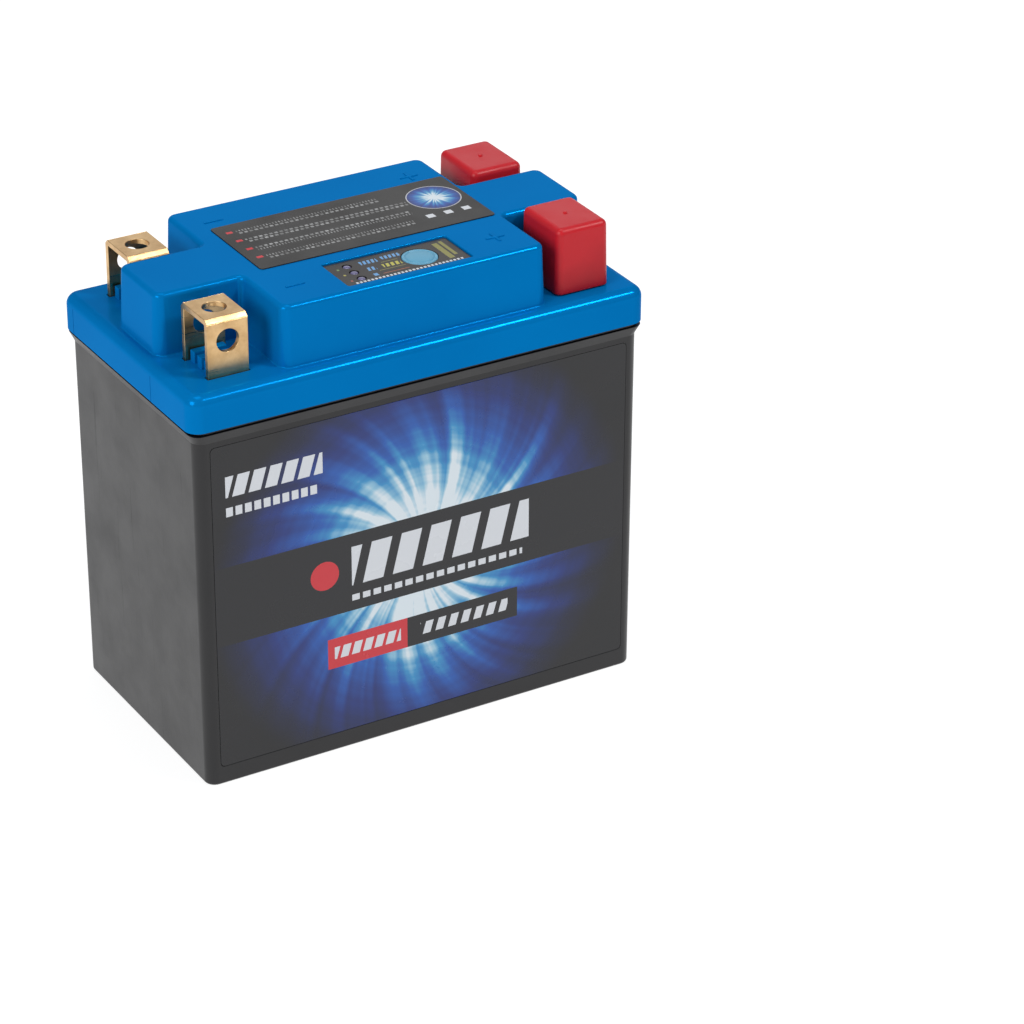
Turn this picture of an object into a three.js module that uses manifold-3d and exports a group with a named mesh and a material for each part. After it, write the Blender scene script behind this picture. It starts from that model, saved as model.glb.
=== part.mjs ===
// Motorcycle starting battery: a tapered case, a welded lid with a raised cross-shaped block,
// four bridge terminals, two lift-off caps, a charge indicator with a test button, and the
// four cells, trays, strips, boards and leads inside. Millimetres, +Z up, origin at the centre
// of the base, +X along the front face towards the positive end, +Y to the back.
import * as THREE from "three";
import { mergeVertices } from "three/addons/utils/BufferGeometryUtils.js";
import Module from "manifold-3d";

const wasm = await Module();
wasm.setup();

// ---- driving dimensions ----
const LENGTH = 135; // lid, along X
const DEPTH = 76; // lid, along Y
const LID_BOTTOM = 104.9;
const LEDGE_TOP = 114.9; // flat ledge around the raised block
const BLOCK_TOP = 132;
const LID_WALL = 2.4;
const LID_CORNER = 4;
const LID_EDGE = 3; // rounding along the top of the skirt
const BLOCK_LENGTH = 77.4;
const BLOCK_DEPTH = 66.9;
const TONGUE_LENGTH = 126.2;
const TONGUE_DEPTH = 22.4;
const BLOCK_CORNER = 4;
const BLOCK_EDGE = 1.9; // rounding along the top of the block
const BLOCK_DRAFT = 0.6; // how much further out each side of the block stands at its foot
const GAP = 0.3; // clearance between neighbouring pieces
const ARC = 5; // segments in each rounded corner

const CASE_LENGTH = 131.7; // just under the flare
const CASE_DEPTH = 73.8;
const CASE_BASE_LENGTH = 131;
const CASE_CORNER = 3.1;
const CASE_BASE_EDGE = 0.9;
const CASE_WALL = 2.2;
const CASE_FLOOR = 2.5;
const FLARE_BOTTOM = 101.2;
const FLARE_REACH = 1; // how far the flare stands out at the rim
const RIM_TOP = LID_BOTTOM - 1;

const FACE_LENGTH = 124.4; // recess and label on the long faces
const FACE_BOTTOM = 5.2;
const FACE_TOP = 99.8;
const FACE_CORNER = 1.5;
const FACE_RECESS = 0.6;
const LABEL_THICK = 0.3;

const TOP_LABEL = { x: 2.1, y: 4, length: 70.4, depth: 29.8, corner: 1.2, recess: 0.5, thick: 0.45 };

const MARK = { x: 29.5, y: 23, long: 2.2, thin: 0.35, height: 0.25 };

const TERMINAL_X = 52.2;
const TERMINAL_Y = 22.15;
const TERMINAL_WIDTH = 11.6; // along X
const TERMINAL_DEPTH = 14.5; // across both wings
const TERMINAL_TOP = 131;
const TERMINAL_FOOT = 109.9;
const SHEET = 1.5; // brass thickness
const BEND = 1.1; // flat across each bend
const BOLT_HOLE = 6.3;
const SIDE_HOLE_Z = 124.6;
const NUT_REST = { width: 2.4, length: 9.4, height: 3.2, pitch: 3.9 };

const CAP_LENGTH = 15; // along X
const CAP_DEPTH = 16.9;
const CAP_TOP = 133;
const CAP_WALL = 0.9;
const CAP_CORNER = 2;
const CAP_TIP = { radius: 0.7, height: 0.35 };

const WINDOW = { x: 0.4, y: -22.8, length: 36.7, depth: 15, corner: 0.6, lip: 1.4, floor: 129.7 };
const PANEL_THICK = 0.9;
const PANEL_TOP = WINDOW.floor + GAP + PANEL_THICK;
const BUTTON = { x: 7, y: WINDOW.y, radius: 4.8, travel: 0.5, dome: 0.5, stem: 1.6, flange: 5.6 };
const SWITCH = { reach: 3, body: 1.6, plunger: 2, plungerRadius: 1.5 };
const LED = { x: -12.3, pitch: 4, radius: 1.2 };
const BOARD = { x: 0.4, y: WINDOW.y + 3, length: 44, depth: 19, thick: 1.2, top: 124.5 };

const CELL_RADIUS = 13;
const CELL_HEIGHT = 65;
const CELL_PITCH = 28;
const CELL_COUNT = 4;
const CELL_BOTTOM = 6.5;
const CELL_TOP = CELL_BOTTOM + CELL_HEIGHT;
const TRAY = { length: 118, depth: 32, height: 7, grip: 4, hole: 10 };
const LOWER_TRAY = CELL_BOTTOM - GAP - (TRAY.height - TRAY.grip);
const UPPER_TRAY = CELL_TOP + GAP - TRAY.grip;
const FOAM_START = TRAY.depth / 2 + 3;
const STRIP_THICK = 0.5;
const STRIP_WIDTH = 12;
const BALANCE = { length: 96, depth: 26, thick: 1.6, bottom: 82 };
const SCREW = { inset: 4, shank: 0.9, bore: 1.2, hole: 1.4, depth: 4.5, head: 2.2, height: 1.4 };
const CHIP = { x: -18, length: 12, depth: 9, height: 2 };
const WIRE = { lead: 1.9, sense: 0.7, cable: 1.2, channel: FOAM_START - 1.5 };
const LEAD_BULGE = 57; // how far out along X each lead swings
const STRAP = { thick: 1.5, width: 9, top: TERMINAL_FOOT - GAP };

const BLUE = new THREE.MeshStandardMaterial({ color: 0x0073be, roughness: 0.25, metalness: 0 });
const BLACK = new THREE.MeshStandardMaterial({ color: 0x48474a, roughness: 0.45, metalness: 0 });
const BRASS = new THREE.MeshStandardMaterial({ color: 0xd2b482, roughness: 0.35, metalness: 1 });
const RED = new THREE.MeshStandardMaterial({ color: 0xb02c35, roughness: 0.4, metalness: 0 });
const PRINT = new THREE.MeshStandardMaterial({ color: 0x1c2440, roughness: 0.4, metalness: 0 });
const GREY_PRINT = new THREE.MeshStandardMaterial({ color: 0x454240, roughness: 0.5, metalness: 0 });
const PALE_BLUE = new THREE.MeshStandardMaterial({ color: 0x86bfd8, roughness: 0.35, metalness: 0 });
const LAMP = new THREE.MeshStandardMaterial({ color: 0xb9b6c4, roughness: 0.3, metalness: 0 });
const CIRCUIT = new THREE.MeshStandardMaterial({ color: 0x1d5a35, roughness: 0.5, metalness: 0 });
const CELL_WRAP = new THREE.MeshStandardMaterial({ color: 0x2f7fb5, roughness: 0.4, metalness: 0 });
const TRAY_PLASTIC = new THREE.MeshStandardMaterial({ color: 0x202022, roughness: 0.6, metalness: 0 });
const FOAM = new THREE.MeshStandardMaterial({ color: 0x6f6f72, roughness: 0.95, metalness: 0 });
const NICKEL = new THREE.MeshStandardMaterial({ color: 0xb8b6b0, roughness: 0.35, metalness: 1 });
const WIRE_BLACK = new THREE.MeshStandardMaterial({ color: 0x171717, roughness: 0.5, metalness: 0 });
const WIRE_RED = new THREE.MeshStandardMaterial({ color: 0xa3191f, roughness: 0.5, metalness: 0 });

const battery = new THREE.Group();

// The four corners of a rectangle, as [along X, along Y].
const corners = [
  [-1, -1],
  [-1, 1],
  [1, -1],
  [1, 1],
];

function addPart(name, geometry, material) {
  const mesh = new THREE.Mesh(geometry, material);
  mesh.name = name;
  battery.add(mesh);
}

// ---- solids ----
function toSolid(geometry) {
  const bare = geometry.clone();
  bare.deleteAttribute("normal");
  bare.deleteAttribute("uv");
  const merged = mergeVertices(bare, 1e-4);
  const vertProperties = new Float32Array(merged.attributes.position.array);
  const triVerts = new Uint32Array(merged.index.array);
  return new wasm.Manifold(new wasm.Mesh({ numProp: 3, vertProperties, triVerts }));
}

function toGeometry(solid) {
  const mesh = solid.getMesh();
  const geometry = new THREE.BufferGeometry();
  geometry.setAttribute("position", new THREE.BufferAttribute(mesh.vertProperties, 3));
  geometry.setIndex(new THREE.BufferAttribute(mesh.triVerts, 1));
  geometry.computeVertexNormals();
  return geometry;
}

function joined(solid, pieces) {
  return pieces.reduce((whole, piece) => whole.add(toSolid(piece)), solid);
}

function cut(solid, tools) {
  return tools.reduce((left, tool) => left.subtract(toSolid(tool)), solid);
}

// ---- shapes ----
// An outline with each corner rounded; corners are [x, y, radius], anticlockwise.
function roundedOutline(corners, segments = ARC) {
  const points = [];
  corners.forEach(([x, y, radius], i) => {
    const here = new THREE.Vector2(x, y);
    const before = new THREE.Vector2(...corners.at(i - 1)).sub(here).normalize();
    const after = new THREE.Vector2(...corners[(i + 1) % corners.length]).sub(here).normalize();
    const centre = here.clone().addScaledVector(before, radius).addScaledVector(after, radius);
    for (let k = 0; k <= segments; k++) {
      const turn = (k / segments) * (Math.PI / 2);
      const point = centre.clone();
      point.addScaledVector(after, -radius * Math.cos(turn));
      point.addScaledVector(before, -radius * Math.sin(turn));
      points.push(point);
    }
  });
  return new THREE.Shape(points);
}

function rectangleCorners(length, depth, radius) {
  const x = length / 2;
  const y = depth / 2;
  return [
    [-x, -y, radius],
    [x, -y, radius],
    [x, y, radius],
    [-x, y, radius],
  ];
}

// The plan of the raised block: a wide middle crossed by a longer, narrower tongue.
function crossCorners(inset) {
  const x = BLOCK_LENGTH / 2 - inset;
  const y = BLOCK_DEPTH / 2 - inset;
  const endX = TONGUE_LENGTH / 2 - inset;
  const endY = TONGUE_DEPTH / 2 - inset;
  const outer = BLOCK_CORNER - Math.min(inset, BLOCK_CORNER - 1);
  const inner = 1 + inset;
  return [
    [-x, -y, outer],
    [x, -y, outer],
    [x, -endY, inner],
    [endX, -endY, outer],
    [endX, endY, outer],
    [x, endY, inner],
    [x, y, outer],
    [-x, y, outer],
    [-x, endY, inner],
    [-endX, endY, outer],
    [-endX, -endY, outer],
    [-x, -endY, inner],
  ];
}

function slab(shape, bottom, top) {
  const geometry = new THREE.ExtrudeGeometry(shape, { depth: top - bottom, bevelEnabled: false });
  return geometry.translate(0, 0, bottom);
}

function plate(length, depth, radius, bottom, top, x = 0, y = 0, segments = ARC) {
  const shape = roundedOutline(rectangleCorners(length, depth, radius), segments);
  return slab(shape, bottom, top).translate(x, y, 0);
}

// A block whose top edge is rounded and whose foot is cut off square. The outline is given
// already drawn in by the rounding.
function roundTopped(shape, edge, bottom, top, segments = 4) {
  const depth = top - bottom;
  const settings = {
    depth,
    bevelEnabled: true,
    bevelSize: edge,
    bevelThickness: edge,
    bevelSegments: segments,
  };
  const whole = new THREE.ExtrudeGeometry(shape, settings).translate(0, 0, bottom - edge);
  const below = box(-LENGTH, LENGTH, -LENGTH, LENGTH, bottom - 3 * edge, bottom);
  return cut(toSolid(whole), [below]);
}

function box(x0, x1, y0, y1, z0, z1) {
  const geometry = new THREE.BoxGeometry(x1 - x0, y1 - y0, z1 - z0);
  return geometry.translate((x0 + x1) / 2, (y0 + y1) / 2, (z0 + z1) / 2);
}

function post(radius, bottom, top, x, y, segments = 24) {
  const geometry = new THREE.CylinderGeometry(radius, radius, top - bottom, segments);
  return geometry.rotateX(Math.PI / 2).translate(x, y, (bottom + top) / 2);
}

// A closed round profile turned about the upright axis; points are [radius, height].
function turned(profile, x, y, segments = 24) {
  const points = profile.map(([radius, height]) => new THREE.Vector2(radius, height));
  const geometry = new THREE.LatheGeometry(points, segments);
  return geometry.rotateX(Math.PI / 2).translate(x, y, 0);
}

// Moves the points of a solid sideways by an amount that depends on their height.
function drafted(solid, outwardAt, halfLength, halfDepth) {
  const geometry = toGeometry(solid);
  const position = geometry.attributes.position;
  for (let i = 0; i < position.count; i++) {
    const outward = outwardAt(position.getZ(i));
    position.setX(i, position.getX(i) * (1 + outward / halfLength));
    position.setY(i, position.getY(i) * (1 + outward / halfDepth));
  }
  return toSolid(geometry);
}

function tube(points, radius, sides, steps) {
  const stops = points.map((point) => new THREE.Vector3(...point));
  const path = new THREE.CatmullRomCurve3(stops, false, "centripetal");
  const section = new THREE.Shape();
  for (let k = 0; k < sides; k++) {
    const turn = (k / sides) * 2 * Math.PI;
    const corner = [radius * Math.cos(turn), radius * Math.sin(turn)];
    if (k === 0) section.moveTo(...corner);
    else section.lineTo(...corner);
  }
  section.closePath();
  return new THREE.ExtrudeGeometry(section, { steps, extrudePath: path, bevelEnabled: false });
}

// ---- case ----
function makeCase() {
  const plan = rectangleCorners(
    CASE_LENGTH - 2 * CASE_BASE_EDGE,
    CASE_DEPTH - 2 * CASE_BASE_EDGE,
    CASE_CORNER - CASE_BASE_EDGE,
  );
  const upright = roundTopped(roundedOutline(plan), CASE_BASE_EDGE, 0, FLARE_BOTTOM + 1, 3);
  const turnedOver = toGeometry(upright);
  turnedOver.rotateX(Math.PI).translate(0, 0, FLARE_BOTTOM + 1);
  const taper = (CASE_BASE_LENGTH - CASE_LENGTH) / 2;
  const body = drafted(
    toSolid(turnedOver),
    (z) => taper * Math.max(0, 1 - z / FLARE_BOTTOM),
    CASE_LENGTH / 2,
    Infinity,
  );
  const rim = rectangleCorners(CASE_LENGTH, CASE_DEPTH, CASE_CORNER);
  const flare = new THREE.ExtrudeGeometry(roundedOutline(rim), {
    depth: 1,
    bevelEnabled: true,
    bevelSize: FLARE_REACH,
    bevelThickness: RIM_TOP - FLARE_BOTTOM,
    bevelSegments: 1,
  }).translate(0, 0, RIM_TOP);
  const above = box(-LENGTH, LENGTH, -LENGTH, LENGTH, RIM_TOP, RIM_TOP + 20);
  const inside = plate(
    CASE_BASE_LENGTH - 2 * CASE_WALL,
    CASE_DEPTH - 2 * CASE_WALL,
    1.5,
    CASE_FLOOR,
    RIM_TOP + 5,
  );
  const shell = body.add(cut(toSolid(flare), [above]));
  return cut(shell, [inside, ...[-1, 1].map(faceRecess)]);
}

// The shallow recess in a long face; side is -1 at the front and 1 at the back.
function faceRecess(side) {
  const middle = (FACE_BOTTOM + FACE_TOP) / 2;
  const outline = rectangleCorners(FACE_LENGTH, FACE_TOP - FACE_BOTTOM, FACE_CORNER);
  const recess = slab(roundedOutline(outline, 3), -FACE_RECESS, FACE_RECESS);
  return recess.rotateX(Math.PI / 2).translate(0, (side * CASE_DEPTH) / 2, middle);
}

function makeFrontLabel() {
  const middle = (FACE_BOTTOM + FACE_TOP) / 2;
  const height = FACE_TOP - FACE_BOTTOM - 2 * GAP;
  const outline = rectangleCorners(FACE_LENGTH - 2 * GAP, height, FACE_CORNER - GAP);
  const sheet = slab(roundedOutline(outline, 3), 0, LABEL_THICK);
  return sheet.rotateX(Math.PI / 2).translate(0, -CASE_DEPTH / 2 + FACE_RECESS - GAP, middle);
}

function makeSeamSeal() {
  const reach = FLARE_REACH - 0.5;
  const outer = plate(
    CASE_LENGTH + 2 * reach,
    CASE_DEPTH + 2 * reach,
    CASE_CORNER + reach,
    RIM_TOP + GAP,
    LID_BOTTOM - GAP,
  );
  const inner = plate(
    CASE_BASE_LENGTH - 2 * CASE_WALL,
    CASE_DEPTH - 2 * CASE_WALL,
    1.5,
    RIM_TOP,
    LID_BOTTOM,
  );
  return cut(toSolid(outer), [inner]);
}

// ---- lid ----
function polarityMark(sign, x, y) {
  const { long, thin, height } = MARK;
  const bar = box(x - long, x + long, y - thin, y + thin, BLOCK_TOP - 1, BLOCK_TOP + height);
  if (sign < 0) return [bar];
  return [bar, box(x - thin, x + thin, y - long, y + long, BLOCK_TOP - 1, BLOCK_TOP + height)];
}

function nutRests(side, end) {
  const x = side * TERMINAL_X;
  const y = end * TERMINAL_Y;
  return [-1, 0, 1].map((k) => {
    const middle = y + k * NUT_REST.pitch;
    const half = NUT_REST.width / 2;
    const reach = NUT_REST.length / 2;
    const top = LEDGE_TOP + NUT_REST.height;
    return box(x - reach, x + reach, middle - half, middle + half, LEDGE_TOP - 1, top);
  });
}

// Slots in the ledge that the wings of one terminal pass through.
function wingSlots(side, end) {
  const x = side * TERMINAL_X;
  const half = TERMINAL_WIDTH / 2 + GAP;
  return [-1, 1].map((k) => {
    const middle = end * TERMINAL_Y + k * (TERMINAL_DEPTH / 2 - SHEET / 2);
    const reach = SHEET / 2 + GAP;
    return box(x - half, x + half, middle - reach, middle + reach, LID_BOTTOM, LEDGE_TOP + 1);
  });
}

// Short posts under the roof that the indicator board hangs from.
function boardPosts() {
  const x = BOARD.length / 2 - 2;
  const y = BOARD.depth / 2 - 2;
  return corners.map(([side, end]) =>
    post(1.5, BOARD.top + GAP, BLOCK_TOP - 1, BOARD.x + side * x, BOARD.y + end * y, 10),
  );
}

function makeLid() {
  const skirtPlan = rectangleCorners(
    LENGTH - 2 * LID_EDGE,
    DEPTH - 2 * LID_EDGE,
    LID_CORNER - LID_EDGE,
  );
  const skirt = roundTopped(roundedOutline(skirtPlan), LID_EDGE, LID_BOTTOM, LEDGE_TOP);
  const straight = roundTopped(
    roundedOutline(crossCorners(BLOCK_EDGE)),
    BLOCK_EDGE,
    LEDGE_TOP - 1,
    BLOCK_TOP,
  );
  const height = BLOCK_TOP - LEDGE_TOP;
  const block = drafted(
    straight,
    (z) => (BLOCK_DRAFT * (BLOCK_TOP - z)) / height,
    TONGUE_LENGTH / 2,
    BLOCK_DEPTH / 2,
  );
  const skirtHollow = plate(
    LENGTH - 2 * LID_WALL,
    DEPTH - 2 * LID_WALL,
    LID_CORNER - LID_WALL,
    LID_BOTTOM - 1,
    LEDGE_TOP - LID_WALL,
  );
  const blockHollow = slab(roundedOutline(crossCorners(LID_WALL)), LID_BOTTOM, BLOCK_TOP - LID_WALL);
  const frame = plate(
    WINDOW.length + 3,
    WINDOW.depth + 3,
    1,
    WINDOW.floor - WINDOW.lip,
    BLOCK_TOP - LID_WALL / 2,
    WINDOW.x,
    WINDOW.y,
    2,
  );
  const window = plate(
    WINDOW.length,
    WINDOW.depth,
    WINDOW.corner,
    WINDOW.floor,
    BLOCK_TOP + 1,
    WINDOW.x,
    WINDOW.y,
    3,
  );
  const opening = plate(
    WINDOW.length - 2 * WINDOW.lip,
    WINDOW.depth - 2 * WINDOW.lip,
    WINDOW.corner,
    LEDGE_TOP,
    BLOCK_TOP,
    WINDOW.x,
    WINDOW.y,
    3,
  );
  const labelSeat = plate(
    TOP_LABEL.length,
    TOP_LABEL.depth,
    TOP_LABEL.corner,
    BLOCK_TOP - TOP_LABEL.recess,
    BLOCK_TOP + 1,
    TOP_LABEL.x,
    TOP_LABEL.y,
    3,
  );
  const additions = corners.flatMap(([side, end]) => [
    ...nutRests(side, end),
    ...polarityMark(side, side * MARK.x, end * MARK.y),
  ]);
  const body = joined(skirt.add(block), additions);
  const shell = cut(body, [skirtHollow, blockHollow]);
  const filled = joined(shell, [frame, ...boardPosts()]);
  const slots = corners.flatMap(([side, end]) => wingSlots(side, end));
  return cut(filled, [window, opening, labelSeat, ...slots]);
}

function makeTopLabel() {
  return plate(
    TOP_LABEL.length - 2 * GAP,
    TOP_LABEL.depth - 2 * GAP,
    TOP_LABEL.corner - GAP,
    BLOCK_TOP - TOP_LABEL.recess + GAP,
    BLOCK_TOP - TOP_LABEL.recess + GAP + TOP_LABEL.thick,
    TOP_LABEL.x,
    TOP_LABEL.y,
    3,
  );
}

// ---- terminals and caps ----
// One bent strip, an upside-down U seen along X, with flats across its two bends.
function makeTerminal(side, end) {
  const half = TERMINAL_DEPTH / 2;
  const inside = half - SHEET;
  const innerBend = BEND - SHEET * (2 - Math.SQRT2);
  const profile = new THREE.Shape();
  const outline = [
    [-half, TERMINAL_FOOT],
    [-inside, TERMINAL_FOOT],
    [-inside, TERMINAL_TOP - SHEET - innerBend],
    [-inside + innerBend, TERMINAL_TOP - SHEET],
    [inside - innerBend, TERMINAL_TOP - SHEET],
    [inside, TERMINAL_TOP - SHEET - innerBend],
    [inside, TERMINAL_FOOT],
    [half, TERMINAL_FOOT],
    [half, TERMINAL_TOP - BEND],
    [half - BEND, TERMINAL_TOP],
    [-half + BEND, TERMINAL_TOP],
    [-half, TERMINAL_TOP - BEND],
  ];
  outline.forEach(([y, z], i) => (i === 0 ? profile.moveTo(y, z) : profile.lineTo(y, z)));
  profile.closePath();
  const strip = new THREE.ExtrudeGeometry(profile, { depth: TERMINAL_WIDTH, bevelEnabled: false });
  strip.rotateX(Math.PI / 2).rotateZ(Math.PI / 2);
  strip.translate(side * TERMINAL_X - TERMINAL_WIDTH / 2, end * TERMINAL_Y, 0);
  const x = side * TERMINAL_X;
  const y = end * TERMINAL_Y;
  const boltHole = post(BOLT_HOLE / 2, TERMINAL_TOP - 2 * SHEET, TERMINAL_TOP + 1, x, y);
  const sideHole = new THREE.CylinderGeometry(BOLT_HOLE / 2, BOLT_HOLE / 2, 2 * TERMINAL_DEPTH, 24);
  sideHole.translate(x, y, SIDE_HOLE_Z);
  return cut(toSolid(strip), [boltHole, sideHole]);
}

function makeCap(end) {
  const x = TERMINAL_X;
  const y = end * TERMINAL_Y;
  const bottom = LEDGE_TOP + GAP;
  const plan = rectangleCorners(CAP_LENGTH - 2 * CAP_CORNER, CAP_DEPTH - 2 * CAP_CORNER, 0.4);
  const outer = roundTopped(roundedOutline(plan, 3), CAP_CORNER, bottom, CAP_TOP);
  const hollow = plate(
    CAP_LENGTH - 2 * CAP_WALL,
    CAP_DEPTH - 2 * CAP_WALL,
    0.8,
    bottom - 1,
    TERMINAL_TOP + GAP,
    0,
    0,
    2,
  );
  const tip = post(CAP_TIP.radius, CAP_TOP - 1, CAP_TOP + CAP_TIP.height, 0, 0, 10);
  return toGeometry(cut(outer.add(toSolid(tip)), [hollow])).translate(x, y, 0);
}

// ---- charge indicator ----
function ledY(k) {
  return WINDOW.y + k * LED.pitch;
}

function makePanel() {
  const bottom = WINDOW.floor + GAP;
  const sheet = plate(
    WINDOW.length - 2 * GAP,
    WINDOW.depth - 2 * GAP,
    WINDOW.corner - GAP,
    bottom,
    PANEL_TOP,
    WINDOW.x,
    WINDOW.y,
    3,
  );
  const buttonHole = post(BUTTON.radius + GAP, bottom - 1, PANEL_TOP + 1, BUTTON.x, BUTTON.y, 32);
  const lamps = [-1, 0, 1].map((k) => {
    return post(LED.radius + GAP, bottom - 1, PANEL_TOP + 1, LED.x, ledY(k), 16);
  });
  return cut(toSolid(sheet), [buttonHole, ...lamps]);
}

function makeButton() {
  const { radius, dome, stem, travel, flange } = BUTTON;
  const crown = PANEL_TOP + dome;
  const under = WINDOW.floor;
  const foot = BOARD.top + SWITCH.plunger + travel + 0.2;
  const profile = [
    [0, foot],
    [stem, foot],
    [stem, under - 1],
    [flange, under - 1],
    [flange, under],
    [radius, under],
    [radius, crown - 0.5],
    [radius - 0.5, crown - 0.1],
    [0, crown],
  ];
  return turned(profile, BUTTON.x, BUTTON.y, 32);
}

function makeLed(k) {
  const profile = [
    [0, BOARD.top + GAP],
    [LED.radius, BOARD.top + GAP],
    [LED.radius, PANEL_TOP],
    [0, PANEL_TOP + 0.15],
  ];
  return turned(profile, LED.x, ledY(k), 16);
}

function makeIndicatorBoard() {
  const sheet = plate(
    BOARD.length,
    BOARD.depth,
    1,
    BOARD.top - BOARD.thick,
    BOARD.top,
    BOARD.x,
    BOARD.y,
    2,
  );
  return toSolid(sheet);
}

function makeTestSwitch() {
  const { reach, body, plunger, plungerRadius } = SWITCH;
  const { x, y } = BUTTON;
  const housing = box(x - reach, x + reach, y - reach, y + reach, BOARD.top + GAP, BOARD.top + body);
  const pin = post(plungerRadius, BOARD.top + 1, BOARD.top + plunger, x, y, 12);
  return joined(toSolid(housing), [pin]);
}

// ---- cells ----
function cellX(k) {
  return (k - (CELL_COUNT - 1) / 2) * CELL_PITCH;
}

function makeCell(k) {
  const up = k % 2 === 1;
  const button = 5.5;
  const shoulder = 1;
  const profile = [
    [0, 0],
    [CELL_RADIUS - shoulder, 0],
    [CELL_RADIUS, shoulder],
    [CELL_RADIUS, CELL_HEIGHT - 2 * shoulder],
    [CELL_RADIUS - shoulder, CELL_HEIGHT - shoulder],
    [button, CELL_HEIGHT - shoulder],
    [button, CELL_HEIGHT],
    [0, CELL_HEIGHT],
  ];
  const cell = turned(profile, 0, 0);
  if (!up) cell.rotateX(Math.PI).translate(0, 0, CELL_HEIGHT);
  return cell.translate(cellX(k), 0, CELL_BOTTOM);
}

// A plate that grips the cells at one end, with an open hole behind each cell.
function makeTray(bottom, pocketBottom, pocketTop, channels) {
  const block = plate(TRAY.length, TRAY.depth, 3, bottom, bottom + TRAY.height);
  const tools = [];
  for (let k = 0; k < CELL_COUNT; k++) {
    tools.push(post(CELL_RADIUS + GAP, pocketBottom, pocketTop, cellX(k), 0));
    tools.push(post(TRAY.hole, bottom - 1, bottom + TRAY.height + 1, cellX(k), 0));
  }
  return cut(toSolid(block), [...tools, ...channels]);
}

// Room in a tray for the strip between cell k and the next.
function stripChannel(k, z0, z1) {
  const half = STRIP_WIDTH / 2 + GAP;
  return box(cellX(k), cellX(k + 1), -half, half, z0, z1);
}

function makeLowerTray() {
  const pocket = CELL_BOTTOM - GAP;
  const below = LOWER_TRAY - 1;
  const wireSide = FOAM_START + 1;
  const channels = [0, 2].flatMap((k) => {
    const x = cellX(k) + CELL_PITCH / 2;
    const side = senseSide(k);
    const y = [Math.min(0, side * wireSide), Math.max(0, side * wireSide)];
    return [stripChannel(k, below, pocket + 1), box(x - 1.5, x + 1.5, ...y, below, pocket)];
  });
  return makeTray(LOWER_TRAY, pocket, LOWER_TRAY + TRAY.height + 1, channels);
}

// Corner posts on the upper tray carry the balance board.
function boardCorners() {
  const x = BALANCE.length / 2 - SCREW.inset;
  const y = BALANCE.depth / 2 - SCREW.inset;
  return corners.map(([side, end]) => [side * x, end * y]);
}

function makeUpperTray() {
  const top = UPPER_TRAY + TRAY.height;
  const pocket = CELL_TOP + GAP;
  const tray = makeTray(UPPER_TRAY, UPPER_TRAY - 1, pocket, [stripChannel(1, pocket - 1, top + 1)]);
  const posts = boardCorners().map(([x, y]) => post(2.6, top - 2, BALANCE.bottom - GAP, x, y, 12));
  const bores = boardCorners().map(([x, y]) => {
    return post(SCREW.bore, BALANCE.bottom - SCREW.depth - 0.5, BALANCE.bottom + 1, x, y, 10);
  });
  return cut(joined(tray, posts), bores);
}

function makeFoam(side) {
  const outer = CASE_DEPTH / 2 - CASE_WALL - 1;
  const middle = (side * (FOAM_START + outer)) / 2;
  return plate(TRAY.length, outer - FOAM_START, 1, CASE_FLOOR + GAP, CELL_TOP, 0, middle, 2);
}

// A strip on the cell ends from x0 to x1, above or below the cells.
function makeStrip(x0, x1, above) {
  const bottom = above ? CELL_TOP + GAP : CELL_BOTTOM - GAP - STRIP_THICK;
  const half = STRIP_WIDTH / 2;
  return box(x0, x1, -half, half, bottom, bottom + STRIP_THICK);
}

// ---- boards, straps and leads ----
function makeBalanceBoard() {
  const top = BALANCE.bottom + BALANCE.thick;
  const sheet = plate(BALANCE.length, BALANCE.depth, 2, BALANCE.bottom, top, 0, 0, 3);
  const holes = boardCorners().map(([x, y]) => post(SCREW.hole, BALANCE.bottom - 1, top + 1, x, y, 12));
  return cut(toSolid(sheet), holes);
}

function makeChip() {
  const top = BALANCE.bottom + BALANCE.thick + GAP;
  return plate(CHIP.length, CHIP.depth, 0.5, top, top + CHIP.height, CHIP.x, 0, 1);
}

function makeBoardScrew([x, y]) {
  const { shank, head, depth, height } = SCREW;
  const seat = BALANCE.bottom + BALANCE.thick + GAP;
  const profile = [
    [0, BALANCE.bottom - depth],
    [shank, BALANCE.bottom - depth],
    [shank, seat],
    [head, seat],
    [head * 0.85, seat + height * 0.85],
    [0, seat + height],
  ];
  return turned(profile, x, y, 12);
}

function makeStrap(side) {
  const half = STRAP.width / 2;
  const reach = TERMINAL_Y + TERMINAL_DEPTH / 2;
  const x = side * TERMINAL_X;
  return box(x - half, x + half, -reach, reach, STRAP.top - STRAP.thick, STRAP.top);
}

function makeLead(side) {
  const tabX = side * (cellX(3) + 5);
  const outX = side * LEAD_BULGE;
  const start = CELL_TOP + STRIP_THICK + 2 * GAP;
  const under = STRAP.top - STRAP.thick - GAP;
  const route = [
    [tabX, 0, start],
    [tabX, 0, start + 4],
    [outX, 3, start + 15],
    [outX, 4, under - 12],
    [side * TERMINAL_X, 2, under - 4],
    [side * TERMINAL_X, 2, under],
  ];
  return tube(route, WIRE.lead, 10, 24);
}

function senseSide(k) {
  return k === 0 ? -1 : 1;
}

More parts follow.
